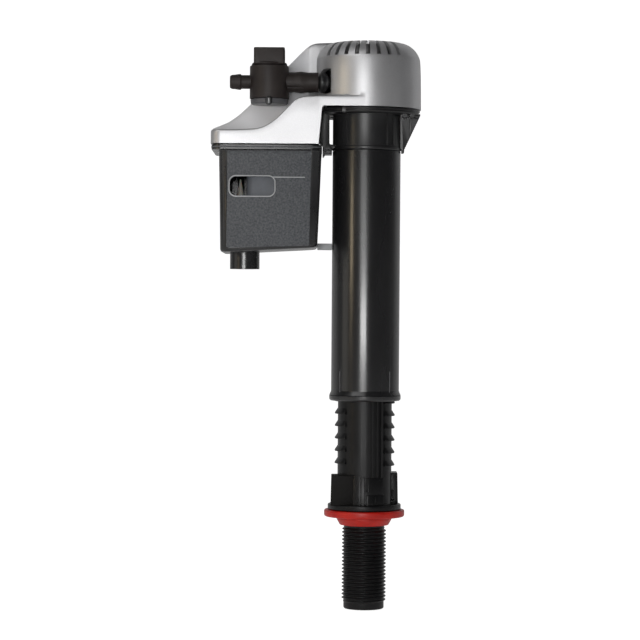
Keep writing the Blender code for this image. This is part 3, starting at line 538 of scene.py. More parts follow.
def riser_tube():
    # (radius, z, corner radius)
    return lathe(fillet([
        (12.0, 203.0, 0.3), (RISER_R, 203.0, 0.4), (RISER_R, FLANGE_Z1, 0.7),
        (FLANGE_R, FLANGE_Z1, 0.7), (FLANGE_R, FLANGE_Z0, 0.25), (SHANK_BORE, FLANGE_Z0, 0.0),
        (SHANK_BORE, 52.0, 0.5), (12.0, 58.0, 0.5)], 5), 128)


def tooth(z, start, end, steps=26):
    """One rack tooth: flat underside, sloping top, ends that run out into the wall."""
    rings = []
    for i in range(steps + 1):
        angle = math.radians(start + (end - start) * i / steps)
        runout = min(1.0, min(i, steps - i) / 2.0)
        tip = RISER_R + 0.12 + (RACK_TIP_R - RISER_R - 0.12) * (0.55 + 0.45 * runout)
        section = [(13.1, z), (tip - 0.12, z), (tip, z + 0.14), (tip, z + 0.62),
                   (tip - 0.16, z + 0.86), (13.45, z + TOOTH_H), (13.1, z + TOOTH_H)]
        rings.append([(radius * math.cos(angle), radius * math.sin(angle), height)
                      for radius, height in section])
    return loft(rings)


def racks():
    teeth = []
    for row in range(RACK_ROWS):
        z = RACK_Z0 + row * RACK_PITCH
        teeth.append(tooth(z, 136, 226))
        teeth.append(tooth(z - RACK_STAGGER, -46, 44))
    return join(*teeth)


def wrench_block(sign, top):
    """Block on the flange: sign 1 is front left, -1 back right; its foot is wider in X."""
    points = [(-16.6, -0.6), (-16.6, -13.0), (-5.6, -13.0)]
    start = math.atan2(-math.sqrt(BLOCK_R ** 2 - 5.6 ** 2), -5.6)
    end = math.atan2(-0.6, -math.sqrt(BLOCK_R ** 2 - 0.36))
    for i in range(9):
        angle = start + (end - start) * i / 8
        points.append((BLOCK_R * math.cos(angle), BLOCK_R * math.sin(angle)))
    solid = prism([(sign * x, sign * y) for x, y in points], FLANGE_Z1 - 0.3, top, 0.35, 3)
    draft, z0, z1 = 0.02, 52.1, 67.2
    for vert in solid.verts:
        factor = 1 + draft * (z1 - vert.co.z) / (z1 - z0)
        vert.co.x *= factor
        vert.co.y *= 2 - factor
    return solid


def build_shank():
    block_hole = prism_xz(round_rect(12.9, 14.9, 53.7, 59.3, 0.95, 6), -1.0, 7.0)
    # arc_block columns: inner and outer radius, start and end angle, arc steps, z0, z1, bevel
    panel = arc_block(13.2, 14.25, -88.0, -50.0, 12, 52.2, 66.0, 0.18)
    panel_foot = arc_block(13.2, 14.9, -86.0, -50.0, 12, 52.2, 57.4, 0.2)
    column = arc_block(13.0, 14.0, -116.0, -98.5, 5, 52.2, 67.0, 0.12)
    bumps = [arc_block(13.6, 14.6, -107.5, -103.5, 3, z, z + 2.2, 0.2) for z in (60.5, 53.6)]
    front_rib = arc_block(13.2, 14.1, -97.5, -90.5, 6, 52.0, 66.5, 0.12)
    guides = [arc_block(13.2, 14.0, -76.5, -72.5, 4, 66.0, 182.0, 0.12),
              arc_block(13.2, 14.4, -56.5, -52.0, 4, 66.0, 182.0, 0.15),
              arc_block(13.2, 13.9, -66.0, -62.5, 4, 66.0, 182.0, 0.12)]
    mark = arc_block(14.0, 15.15, -70.6, -68.2, 3, 53.2, 56.6, 0.1)
    panel_slot = arc_block(13.55, 14.6, -87.2, -82.0, 4, 59.2, 65.6, 0.1)
    piece("shank_riser_fine", "base", SHANK_BLACK, riser_tube(),
          [(ADD, racks()), (ADD, wrench_block(-1, BLOCK_TOP_RIGHT)), (CUT, block_hole),
           (ADD, panel), (ADD, panel_foot), (ADD, column), (ADD, join(*bumps)),
           (ADD, front_rib), (ADD, join(*guides)), (ADD, mark), (CUT, panel_slot)],
          replaces="shank_base")
    piece("wrench_block_fine", "base", BLOCK_BLACK,
          wrench_block(1, BLOCK_TOP_LEFT))
    piece("shank_thread_fine", "base", SHANK_BLACK, threaded_shank(),
          replaces="shank_base", sharp=50)


def build_washer():
    # (radius, z, corner radius)
    outline = fillet([
        (10.9, 49.5, 0.2), (20.1, 49.5, 0.9), (20.1, 46.0, 1.1), (13.75, 46.0, 0.4),
        (13.75, 44.6, 0.5), (12.2, 41.8, 0.4), (10.9, 41.8, 0.2)], 6)
    piece("tank_washer_fine", "base", RED_RUBBER, lathe(outline, 128),
          replaces="shank_washer", sharp=32)


# ------------------------------------------------------------------ outer tube


def build_outer_tube():
    # Two thin grey rods on the black collar are painted highlight lines along two short slits.
    for side, x, y in (("left", -12.75, -11.2), ("right", 11.9, -12.1)):
        piece("tube_slit_highlight_" + side, "upper", RETAINER_GREY,
              rod(0.24, (x, y, 107.9), (x, y, 118.8), 24))
    # (radius, z, corner radius): straight tube over a flared collar
    outline = fillet([
        (15.5, 228.3, 0.15), (17.0, 228.3, 0.25), (17.0, 108.9, 0.8), (17.35, 107.9, 0.8),
        (17.9, 106.7, 0.9), (17.9, 104.6, 0.9), (17.2, 103.9, 0.5), (15.5, 103.9, 0.2)], 5, 8)
    lugs = join(arc_block(13.9, 16.0, -130, -94, 12, 107.1, 109.2, 0.15),
                arc_block(13.9, 16.0, 50, 86, 12, 106.15, 108.25, 0.15))
    groove = lathe([(17.55, 106.55), (18.6, 106.9), (18.6, 106.1)], 128)
    seams = join(*[arc_block(16.5, 17.16, angle - 0.5, angle + 0.5, 2, 107.2, 119.5, 0.06, 1)
                   for angle in (-136, -44, 44, 136)])
    piece("outer_tube_fine", "upper", TUBE_BLACK, lathe(outline, 160),
          [(ADD, lugs), (CUT, groove), (ADD, seams)], replaces="outer_tube")


# ------------------------------------------------------------------ valve body
REFILL_X, REFILL_Y, REFILL_Z = -48.5, -17.0, 261.1   # centre of the refill valve
NIPPLE = (-22.6, REFILL_Y, REFILL_Z)

# (radius, z): down the outside, up the inner passages
BODY_OUTLINE = [
    (17.6, 265.2), (20.0, 265.2), (20.0, 248.7), (26.4, 248.7), (26.5, 247.9), (26.05, 247.6),
    (26.05, 247.2), (26.4, 246.9), (26.1, 246.3), (17.0, 246.3), (17.0, 230.3), (17.25, 230.1),
    (17.25, 229.0), (16.9, 228.6), (15.2, 228.6), (15.2, 219.0), (14.2, 219.0), (14.2, 246.3),
    (13.0, 246.3), (13.0, 236.0), (10.8, 236.0), (10.8, 243.3), (5.4, 243.3), (5.4, 251.6),
    (5.9, 252.0), (6.9, 252.0), (7.4, 251.4), (7.4, 248.7), (17.6, 248.7)]
# (x, z, corner radius): arm bracket on the left
BRACKET = [
    (-22.3, 248.2, 0), (-23.05, 241.0, 0), (-23.85, 232.6, 0.3), (-22.1, 231.0, 0.2),
    (-22.0, 225.2, 0.3), (-21.4, 225.6, 0.3), (-20.8, 226.6, 0.6), (-17.35, 226.6, 0.3),
    (-17.35, 229.2, 0.2), (-16.0, 229.8, 0), (-16.0, 231.2, 0), (-18.6, 231.6, 0.6),
    (-18.7, 246.0, 0.8), (-18.0, 248.2, 0.2)]
# (x, z): gusset on the right, with a recess and a raised band on either side
GUSSET = [(16.2, 247.0), (16.2, 229.4), (17.35, 229.2), (17.35, 227.6), (18.6, 227.6),
          (18.7, 229.2), (26.6, 246.2), (26.6, 247.0)]
GUSSET_POCKET = [(21.0, 245.0), (21.0, 235.0), (22.3, 238.0), (22.3, 245.0)]
GUSSET_BAND = [(17.5, 245.2), (17.5, 244.4), (25.3, 244.4), (25.6, 245.2)]
# (radius, distance to the left of NIPPLE, corner radius)
NIPPLE_BALL = [
    (0, -4.0, 0), (2.6, -3.7, 1), (4.4, -2.4, 1), (5.2, -0.7, 0.8), (5.2, 0.4, 0.6),
    (4.4, 1.2, 0.4), (3.1, 1.35, 0.1), (3.1, 6.0, 0.1), (2.5, 6.0, 0.1), (2.5, 8.0, 0.1),
    (3.1, 8.0, 0.1), (3.1, 12.6, 0.2), (2.7, 13.2, 0.2), (0, 13.2, 0)]


def build_valve_body():
    body = lathe(fillet([(radius, z, 0.16) for radius, z in BODY_OUTLINE], 3), 128)
    ports = join(*[arc_block(10.0, 14.6, 60 * i - 20, 60 * i + 20, 8, 245.5, 249.5)
                   for i in range(6)])
    rim_cut = box(-30, -20.9, -30, 30, 240, 249.5)
    bracket = prism_xz(fillet(BRACKET, 4), -6.0, 6.0, 0.25, 2)
    bracket_bar = box(-19.2, -16.5, -5.6, 5.6, 244.5, 245.3, 0.15, 2)
    bracket_lip = box(-22.0, -18.2, -6.5, -5.6, 228.1, 228.9, 0.2, 2)
    gusset = prism_xz(GUSSET, -3.6, 3.6, 0.2, 2)
    pockets = join(prism_xz(GUSSET_POCKET, -4.6, -2.0, 0.12, 2),
                   prism_xz(GUSSET_POCKET, 2.0, 4.6, 0.12, 2))
    bands = join(prism_xz(GUSSET_BAND, -4.0, -3.3, 0.1, 2),
                 prism_xz(GUSSET_BAND, 3.3, 4.0, 0.1, 2))
    ribs = join(*[arc_block(16.6, 17.45, angle - 1.6, angle + 1.6, 3, 230.9, 246.65, 0.12)
                  for angle in (-126, -55, -40, 60, 120)])
    # two round bars under the rim on the right and a pad at its front left
    clips = join(*[rod(1.25, (x, -11.4, 245.9), (x, 11.4, 245.9), 32) for x in (18.6, 22.2)],
                 prism(round_rect(-13.1, -10.1, -23.9, -21.6, 0.8), 246.0, 248.9, 0.2, 2))
    neck = rod(2.7, (-16.27, -9.59, REFILL_Z), NIPPLE, 40)
    ball = turned(fillet(NIPPLE_BALL, 4, 6), NIPPLE, (-1, 0, 0), 64)
    ball_bore = rod(1.7, (-22.0, REFILL_Y, REFILL_Z), (-40.0, REFILL_Y, REFILL_Z), 32)
    neck_bore = rod(1.7, (-14.0, -6.93, REFILL_Z), (-23.1, -17.6, REFILL_Z), 32)
    piece("valve_body_fine", "upper", BODY_BLACK, body,
          [(CUT, ports), (CUT, rim_cut), (ADD, bracket), (ADD, bracket_bar), (ADD, bracket_lip),
           (ADD, gusset), (CUT, pockets), (ADD, bands), (ADD, ribs), (ADD, clips),
           (ADD, neck), (ADD, ball), (CUT, ball_bore), (CUT, neck_bore)],
          replaces="valve_body")


# ------------------------------------------------------------------ silver cover
HALF = 27.0               # dome radius, and half width of the float side
COVER_WALL = 1.8
DOME_TOP, DOME_FOOT = 282.2, 249.0
COVER_LEFT = -77.0
CORNER_R, EDGE_R = 5.0, 0.9       # left corners in plan; rounding along the front edge
# (radius, z)
DOME = [(8.0, DOME_TOP), (15.0, 282.2), (18.0, 281.9), (21.0, 280.9), (23.5, 279.0),
        (25.0, 277.1), (26.0, 275.1), (26.5, 273.0), (26.85, 266.0)]
# Lines of the float side over x: (x, z) of the ledge and of the top of the rise,
# (x, y) of the foot of the rise and (x, width) of its flank.
LEDGE_Z = [
    (-77.0, 237.0), (-63.3, 237.2), (-55.6, 237.55), (-52.1, 238.3), (-48.6, 239.9),
    (-45.0, 242.5), (-41.5, 245.9), (-38.0, 249.5), (-35.6, 251.8), (-33.2, 253.0),
    (-29.3, 253.7), (-21.0, 253.95), (0.0, 254.1)]
RISE_TOP_Z = [
    (-77.0, 238.8), (-75.0, 239.6), (-71.6, 241.1), (-69.2, 242.2), (-65.9, 244.4),
    (-63.6, 246.2), (-61.3, 248.3), (-58.9, 250.6), (-56.5, 253.0), (-48.0, 261.7),
    (-39.6, 270.5), (-33.6, 276.4), (-30.6, 279.1), (-28.2, 280.8), (-25.0, 281.7),
    (-18.0, 282.0), (0.0, 282.2)]
RISE_FOOT_Y = [
    (-77.0, -14.0), (-70.0, -11.4), (-64.0, -10.0), (-58.0, -9.2), (-52.0, -8.8),
    (-44.0, -8.8), (-37.0, -9.6), (-30.0, -11.6), (-24.0, -12.0), (0.0, -12.0)]
RISE_WIDTH = [(-77.0, 8.0), (-60.0, 7.0), (-48.0, 7.5), (-38.0, 7.5), (-24.0, 6.5), (0.0, 6.5)]
SIDE_FLOOR = 230.3
# (x at the top, x at the floor, floor z): the floor climbs to the dome's foot
FLOOR_STEPS = [
    (-24.9, -24.9, 230.3), (-24.2, -24.1, 230.35), (-23.8, -23.3, 239.0), (-23.2, -22.65, 247.0),
    (-22.8, -22.4, 248.1), (-22.3, -22.1, 248.7), (-21.6, -21.6, 249.0)]


def through(points, x):
    """Smooth curve through (x, value) points that never overshoots them."""
    if x <= points[0][0]:
        return points[0][1]
    if x >= points[-1][0]:
        return points[-1][1]
    slopes = [(b[1] - a[1]) / (b[0] - a[0]) for a, b in zip(points, points[1:])]
    tangents = [0.0 if a * b <= 0 else 2 * a * b / (a + b) for a, b in zip(slopes, slopes[1:])]
    tangents = [slopes[0]] + tangents + [slopes[-1]]
    for i, ((x0, y0), (x1, y1)) in enumerate(zip(points, points[1:])):
        if x0 <= x <= x1:
            width = x1 - x0
            t = (x - x0) / width
            return ((2 * t ** 3 - 3 * t ** 2 + 1) * y0
                    + (t ** 3 - 2 * t ** 2 + t) * width * tangents[i]
                    + (-2 * t ** 3 + 3 * t ** 2) * y1
                    + (t ** 3 - t ** 2) * width * tangents[i + 1])


def dome_curve(steps=6):
    """Catmull-Rom (radius, z) curve from the flat top disc down to the rim."""
    points = [Vector(point) for point in DOME + [(27.0, 256.0), (27.05, DOME_FOOT)]]
    curve = []
    for p0, p1, p2, p3 in zip(points, points[1:], points[2:], points[3:]):
        for k in range(steps):
            t = k / steps
            point = 0.5 * ((2 * p1) + (p2 - p0) * t + (2 * p0 - 5 * p1 + 4 * p2 - p3) * t ** 2
                           + (3 * p1 - p0 - 3 * p2 + p3) * t ** 3)
            curve.append((point.x, point.y))
    return curve + [tuple(points[-2]), tuple(points[-1])]


def dome_height(radius):
    return through(DOME + [(HALF, DOME_FOOT)], min(radius, 26.999))


def flank(t, foot=0.28, head=0.42):
    """0 to 1 with a rounded foot, a straight flank and a rounded head."""
    slope = 1.0 / (1 - foot / 2 - head / 2)
    if t <= 0:
        return 0.0
    if t >= 1:
        return 1.0
    if t < foot:
        return slope * t * t / (2 * foot)
    if t < 1 - head:
        return slope * (t - foot / 2)
    return 1 - slope * (1 - t) ** 2 / (2 * head)


def dome_fillet(x, y, radius=1.15):
    """Height that the ledge gains where it meets the dome."""
    gap = math.hypot(x, y) - HALF
    return 0.0 if gap >= radius else radius * (1 - max(0.0, gap) / radius) ** 2 * 0.95


def soft_min(a, b, blend):
    share = max(0.0, min(1.0, 0.5 + 0.5 * (b - a) / blend))
    return b * (1 - share) + a * share - blend * share * (1 - share)


def arc_depth(distance, radius):
    """How far a quarter round lies below its crown, `distance` in from its end."""
    if distance >= radius:
        return 0.0
    return radius - math.sqrt(max(0.0, radius * radius - (radius - distance) ** 2))


def side_section(x, floor_x, floor):
    """One ring of the float side: front wall, ledge, rise, top and back wall."""
    inset = x - COVER_LEFT
    half = HALF - CORNER_R + math.sqrt(
        max(0.0, CORNER_R * CORNER_R - (CORNER_R - min(inset, CORNER_R)) ** 2))
    end_drop = arc_depth(inset, EDGE_R)
    ledge = through(LEDGE_Z, x) - end_drop
    top = through(RISE_TOP_Z, x) - end_drop
    foot_y = through(RISE_FOOT_Y, x)
    edge_y = -half + EDGE_R
    rise_y = max(foot_y, edge_y + 0.6)

    ring = [(floor_x, -half, floor)]
    for k in (0.33, 0.66):
        ring.append((x + (floor_x - x) * (1 - k), -half, floor + (ledge - EDGE_R - floor) * k))
    lift = dome_fillet(x, -half)
    for degrees in range(0, 91, 15):
        angle = math.radians(degrees)
        ring.append((x, -half + EDGE_R * (1 - math.cos(angle)),
                     ledge - EDGE_R * (1 - math.sin(angle)) + lift * math.sin(angle)))
    for k in range(1, 10):
        y = edge_y + (rise_y - edge_y) * k / 10
        ring.append((x, y, min(ledge + dome_fillet(x, y), top - 0.5)))

    head_y = min(max(foot_y + through(RISE_WIDTH, x), rise_y + 1.0), half - 13.2)
    rise_z = ledge + min(dome_fillet(x, rise_y), max(0.0, top - 0.5 - ledge))
    for k in range(25):
        y = rise_y + (head_y - rise_y) * k / 24
        ring.append((x, y, rise_z + (top - rise_z) * flank((y - foot_y) / (head_y - foot_y))))
    for k in range(1, 23):
        share = 1 - (1 - k / 23) ** 2.2
        y = head_y + (half - 0.001 - head_y) * share
        limit = dome_height(max(0.0, y + (HALF - half))) - end_drop
        ring.append((x, y, soft_min(top, limit, 2.2)))

    back_z = ring[-1][2] - 1.2
    ring.append((x, half, back_z))
    ring.append((x + (floor_x - x) * 0.5, half, floor + (back_z - floor) * 0.5))
    ring.append((floor_x, half, floor))
    return ring


def float_side():
    """Left part of the cover, section after section from its left end to the dome's axis."""
    places = [COVER_LEFT + CORNER_R * (1 - math.cos(math.radians(degrees)))
              for degrees in (0, 6, 12, 18, 26, 35, 46, 58, 72, 90)]
    x, spacing = places[-1], 0.8
    while x + spacing < -25.3:
        x += spacing
        places.append(x)
    under_dome = [-21.0 + 0.7 * i for i in range(30)] + [0.0]
    stations = ([(x, x, SIDE_FLOOR) for x in places] + FLOOR_STEPS
                + [(x, x, DOME_FOOT) for x in under_dome])
    return loft([side_section(*station) for station in stations])


def cover_shell():
    """Outside of the whole cover, opened underneath and thickened inwards."""
    dome = lathe([(0, DOME_TOP), (8.0, DOME_TOP)] + dome_curve() + [(0, DOME_FOOT)], 180)
    outside = combine(mesh_of(float_side()), dome, ADD)
    skin = solid_of(outside)
    bpy.data.meshes.remove(outside)
    bmesh.ops.remove_doubles(skin, verts=skin.verts[:], dist=0.01)
    bmesh.ops.dissolve_degenerate(skin, dist=0.005, edges=skin.edges[:])
    underside = [face for face in skin.faces
                 if face.normal.z < -0.9 and face.calc_center_median().z < DOME_FOOT + 0.2]
    bmesh.ops.delete(skin, geom=underside, context='FACES')
    ob = add_object("skin", mesh_of(skin, "skin"))
    wall = ob.modifiers.new("wall", 'SOLIDIFY')
    wall.thickness = COVER_WALL
    wall.offset = -1.0
    wall.use_rim = True
    shell = evaluated_mesh(ob)
    bpy.data.objects.remove(ob, do_unlink=True)
    return solid_of(shell)


def vent(degrees, inner):
    """Cutter for one radial slot through the dome's shoulder."""
    cos, sin = math.cos(math.radians(degrees)), math.sin(math.radians(degrees))
    outline = fillet([(inner, -0.85, 0.6), (29.0, -1.1, 0), (29.0, 1.1, 0), (inner, 0.85, 0.6)])
    return prism([(cos * u - sin * v, sin * u + cos * v) for u, v in outline], 274.4, 285)


def build_cover():
    shell = cover_shell()
    front_vents = [vent(-90.4 + 12 * (i - 4), 15.8) for i in range(8)]
    back_vents = [vent(90.4 + 12 * (i - 3), 20.6) for i in range(8)]
    nipple_hole = turned([(0, 0), (6.3, 0), (6.3, 12.0), (0, 12.0)],
                         (-18.15, -17.5, 261.75), (-1.0, 0.0, 0.0), 72)
    piece("head_cover_fine", "upper", SILVER, shell,
          [(CUT, nipple_hole), (CUT, join(*front_vents, *back_vents))],
          replaces="head_cover", sharp=35)


# ------------------------------------------------------------------ float chamber
CHAMBER_X0, CHAMBER_X1, CHAMBER_HALF = -73.0, -23.3, 25.0
CHAMBER_Z0 = 177.0
SPOUT_X = -60.6
# (z, inset all round, extra width on the left)
CHAMBER_WALL = [
    (CHAMBER_Z0, 1.3, 0.0), (177.15, 0.85, 0.0), (177.5, 0.4, 0.0), (178.1, 0.1, 0.0),
    (178.9, 0.0, 0.0), (200.0, 0.0, 0.35), (226.2, 0.0, 0.9), (227.0, -0.1, 0.9)]
# (z, inset) of the lip around the top
CHAMBER_LIP = [(227.35, 0.25), (227.5, 0.0), (229.6, 0.0), (229.9, 0.3)]


def chamber_outside():
    """Box whose bottom edge slopes up to the right and whose right side leans out."""
    rings = []
    for z, inset, grow in CHAMBER_WALL:
        right = CHAMBER_X1 - 1.1 + 1.85 * (z - CHAMBER_Z0) / 50.0
        slope = 0.055 if z < 179.5 else 0.0
        outline = round_rect(CHAMBER_X0 + 0.9 - grow + inset, right - inset,
                             -CHAMBER_HALF + inset, CHAMBER_HALF - inset, 5.0, 10)
        rings.append([(x, y, z + slope * (x - CHAMBER_X0)) for x, y in outline])
    for z, inset in CHAMBER_LIP:
        outline = round_rect(-76.6 + inset, CHAMBER_X1 + 0.85 - inset,
                             -26.8 + inset, 26.8 - inset, 5.0, 10)
        rings.append([(x, y, z) for x, y in outline])
    return loft(rings)


def window_cutter():
    return prism_xz(round_rect(-67.3, -45.6, 204.8, 214.1, 3.0, 8), -30, -20)


def build_chamber():
    hollow = prism(round_rect(CHAMBER_X0 + 1.9, CHAMBER_X1 - 1.7, -CHAMBER_HALF + 1.7,
                              CHAMBER_HALF - 1.7, 3.4), 180.6, 235)
    spout = rod(7.4, (SPOUT_X, 0, 169.2), (SPOUT_X, 0, 179.2), 64)
    spout_bore = turned([(0, 0), (4.5, 0), (4.5, 2.0), (5.6, 2.0), (5.6, 7.7), (0, 7.7)],
                        (SPOUT_X, 0, 167.9), (0, 0, 1), 48)
    spout_hole = rod(3.6, (SPOUT_X, 0, 175.9), (SPOUT_X, 0, 185), 32)
    piece("float_chamber_fine", "upper", CHAMBER_BLACK, chamber_outside(),
          [(ADD, spout), (CUT, hollow), (CUT, join(spout_bore, spout_hole)),
           (CUT, window_cutter())],
          replaces="float_chamber")

    # A thin band of the pale panel material around the black lip is a painted highlight line along
    # the rim.
    lip_inside = prism(round_rect(-76.3, CHAMBER_X1 + 0.55, -26.5, 26.5, 4.8, 10), 227.0, 230.0)
    piece("chamber_rim_highlight_band", "upper", CHAMBER_PANEL,
          prism(round_rect(-76.75, CHAMBER_X1 + 1.0, -27.0, 27.0, 5.1, 10), 228.3, 229.0, 0.2, 2),
          [(CUT, lip_inside)])
    # thin textured plate on the front wall, with the window's raised rim on it
    plate = fillet([(-68.6, 226.9, 0.7), (-68.9, 179.4, 0.7), (-28.3, 180.4, 0.7),
                    (-27.6, 226.9, 0.7)])
    piece("chamber_front_texture", "upper", CHAMBER_PANEL,
          prism_xz(plate, -25.3, -24.8, 0.1, 2), [(CUT, window_cutter())])
    piece("chamber_front_line", "upper", LIGHT_GREY,
          prism_xz(round_rect(-46.2, -30.6, 213.65, 214.1, 0.2, 3), -25.6, -25.2, 0.08, 1))
    piece("chamber_window_rim", "upper", LIGHT_GREY,
          prism_xz(round_rect(-68.0, -44.9, 204.1, 214.8, 3.6, 8), -25.75, -24.9, 0.2, 2),
          [(CUT, prism_xz(round_rect(-67.45, -45.45, 204.65, 214.25, 3.1, 8), -30, -20))])
    piece("chamber_clip_fine", "upper", LIGHT_GREY,
          box(-24.4, -17.06, -4.0, 4.0, 179.0, 182.2, 0.3, 3), replaces="chamber_clip", sharp=32)


# ------------------------------------------------------------------ float


def build_float():
    ear = prism(round_rect(-67.0, -56.0, 0.8, 10.8, 1.5, 4), 216.2, 221.0, 0.3, 2)
    hollow = prism(round_rect(-57.8, -28.6, -18.9, 18.9, 2.0), 180.0, 220.2)
    ear_hole = rod(1.95, (-63.0, 5.8, 214), (-63.0, 5.8, 224), 32)
    piece("float_fine", "float_body", FLOAT_GREY,
          prism(round_rect(-59.4, -27.0, -20.5, 20.5, 3.5), 185.3, 222.0, 0.5, 3),
          [(ADD, ear), (CUT, hollow), (CUT, ear_hole)], replaces="float", sharp=32)
    cone = turned([(0, 0), (1.75, 0), (1.6, 2.5), (0.3, 9.2), (0, 9.4)],
                  (-62.9, -3.4, 204.6), (0, 0, 1), 48)
    foot = prism(round_rect(-64.6, -58.6, -5.0, -1.8, 0.7, 4), 203.4, 205.0, 0.2, 2)
    piece("float_peg", "float_body", NYLON, cone, [(ADD, foot)])


# ------------------------------------------------------------------ refill valve
# (radius, z, corner radius)
BARREL = [(5.9, 269.0, 0.2), (9.65, 269.0, 0.7), (9.65, 252.8, 0.25), (8.2, 252.8, 0.1),
          (8.2, 254.6, 0.2), (5.9, 254.6, 0.2)]
KNOB = [(0, 272.0, 0), (8.4, 270.4, 0.4), (8.9, 269.3, 0.2), (5.55, 269.3, 0.1),
        (5.55, 267.9, 0.1), (4.9, 267.9, 0.1), (4.9, 266.3, 0.1), (5.55, 266.3, 0.1),
        (5.55, 255.2, 0.2), (0, 255.2, 0)]
RETAINER = [(0, 252.5, 0), (7.4, 252.5, 0.1), (7.4, 254.3, 0.1), (7.9, 254.3, 0.1),
            (7.9, 252.5, 0.1), (9.3, 252.5, 0.3), (9.1, 250.5, 0.3), (8.5, 250.0, 0.3),
            (0, 250.0, 0)]
# (radius, distance outwards, corner radius)
RIGHT_ARM = [(0, 0, 0), (4.9, 0, 0), (4.9, 4.4, 2), (5.3, 7.4, 2.5), (4.85, 11.0, 2),
             (4.85, 15.9, 0.2), (4.6, 16.2, 0.2), (0, 16.2, 0)]
LEFT_ARM = [(0, 0, 0), (3.4, 0, 0), (3.4, 5.7, 0.2), (3.95, 6.2, 0.2), (3.85, 7.2, 0.3),
            (3.6, 8.8, 0.5), (3.45, 10.5, 0.4), (2.9, 11.4, 0.3), (0, 11.4, 0)]


def refill_lathe(corners, steps, segments):
    return lathe(fillet(corners, steps), segments, REFILL_X, REFILL_Y)


def cross_rod(radius, start, end, segments):
    """Rod along X through the refill valve's centre, ends measured from it."""
    return rod(radius, (REFILL_X + start, REFILL_Y, REFILL_Z),
               (REFILL_X + end, REFILL_Y, REFILL_Z), segments)


def arm_ridge(offset):
    """Thin ridge along the front of the right arm, `offset` from its centre line in Z."""
    x0, x1 = REFILL_X + 8.6, REFILL_X + 17.0
    z0 = REFILL_Z + offset
    return prism_xz([(x0, z0), (x1, z0), (x1, z0 + 0.5), (x0, z0 + 0.5)],
                    REFILL_Y - 5.1, REFILL_Y - 3.0, 0.1, 1)


def build_refill_valve():
    right_arm = turned(fillet(RIGHT_ARM, 5, 4), (REFILL_X + 8.0, REFILL_Y, REFILL_Z), (1, 0, 0), 64)
    left_arm = turned(fillet(LEFT_ARM, 4, 6), (REFILL_X - 8.0, REFILL_Y, REFILL_Z), (-1, 0, 0), 56)
    bores = join(cross_rod(3.75, 12.0, 28.5, 40), cross_rod(2.0, -24.0, -4.0, 32))
    piece("refill_valve_fine", "upper", REFILL_BROWN,
          refill_lathe(BARREL, 4, 96),
          [(ADD, join(right_arm, left_arm)), (ADD, join(arm_ridge(-1.9), arm_ridge(-3.4))),
           (CUT, bores), (CUT, cross_rod(2.0, 4.0, 12.4, 32))],
          replaces="refill_valve_body")
    grip = prism(round_rect(REFILL_X - 7.6, REFILL_X + 7.6, REFILL_Y - 7.2, REFILL_Y + 7.2,
                            1.1, 5), 269.6, 277.6, 0.4, 3)
    piece("refill_knob_fine", "knob", REFILL_BROWN,
          refill_lathe(KNOB, 3, 72), [(ADD, grip), (CUT, cross_rod(1.8, -12, 12, 32))],
          replaces="refill_knob")
    piece("refill_retainer_fine", "upper", RETAINER_GREY,
          refill_lathe(RETAINER, 3, 96), replaces="refill_retainer")
    loop_hole = prism_xz(round_rect(REFILL_X - 0.75, REFILL_X + 0.75, 249.9, 252.6, 0.7, 6),
                         REFILL_Y - 11, REFILL_Y - 9.2, 0.1, 1)
    piece("retainer_loop", "upper", SHANK_BLACK,
          prism_xz(round_rect(REFILL_X - 1.7, REFILL_X + 1.7, 249.0, 253.5, 1.6, 8),
                   REFILL_Y - 10.3, REFILL_Y - 8.6, 0.35, 3), [(CUT, loop_hole)])
    # A light grey pin in the black loop's opening is a painted highlight on the loop.
    highlight_pin_y = REFILL_Y - 9.75
    piece("retainer_highlight_pin", "upper", LIGHT_GREY,
          rod(0.42, (REFILL_X, highlight_pin_y, 250.0), (REFILL_X, highlight_pin_y, 252.4), 24))


# ------------------------------------------------------------------ CAD parts that stay
CAD_FINISH = {
    "inlet_filter": NYLON, "riser_seal_ring": SEAL_RUBBER, "inlet_riser": BODY_BLACK,
    "riser_top_oring": SEAL_RUBBER, "main_diaphragm": SEAL_RUBBER, "main_valve_poppet": NYLON,
    "pressure_cover": BODY_BLACK, "cover_gasket": SEAL_RUBBER, "arm_pivot_pin": STEEL,
    "float_arm": BODY_BLACK, "pilot_seal_pad": SEAL_RUBBER, "rod_swivel": NYLON,
    "level_rod": BODY_BLACK, "drain_check_disc": SEAL_RUBBER, "refill_knob_oring": SEAL_RUBBER,
    "refill_nipple_oring": SEAL_RUBBER,
}


def finish_cad_parts():
    for name, material in CAD_FINISH.items():
        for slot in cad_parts[name].material_slots:
            slot.material = material


# ------------------------------------------------------------------ stage (metres)


def studio_sweep():
    """Pale floor that curves up into a backdrop far behind the object."""
    front, bend_y, rise, top, half_width = -4.0, 1.6, 1.2, 5.0, 6.0
    line = [(front, 0.0), (bend_y, 0.0)]
    for i in range(1, 13):
        angle = math.radians(90 * i / 12)
        line.append((bend_y + rise * math.sin(angle), rise - rise * math.cos(angle)))
    line.append((bend_y + rise, top))
    sheet = bmesh.new()
    left, right = [[sheet.verts.new((x, y, z)) for y, z in line]
                   for x in (-half_width, half_width)]
    for i in range(len(line) - 1):
        sheet.faces.new((left[i], right[i], right[i + 1], left[i + 1]))
    mesh = mesh_of(sheet, "sweep")
    mesh.shade_smooth()
    ob = add_object("studio_sweep", mesh)
    ob.location = (0, 0, -0.0005)
    material, tree, shader = new_material("floor_pale")
    # bright to the camera, much dimmer as a light source
    camera_ray = add_node(tree, "LightPath").outputs["Is Camera Ray"]
    glow = add_node(tree, "MapRange", {"To Min": 0.25, "To Max": 0.93, "Value": camera_ray})
    wire(shader, {
        "Base Color": (0.86, 0.86, 0.86, 1), "Roughness": 0.95, "Specular IOR Level": 0.1,
        "Emission Color": (1, 1, 1, 1), "Emission Strength": glow.outputs["Result"]})
    mesh.materials.append(material)


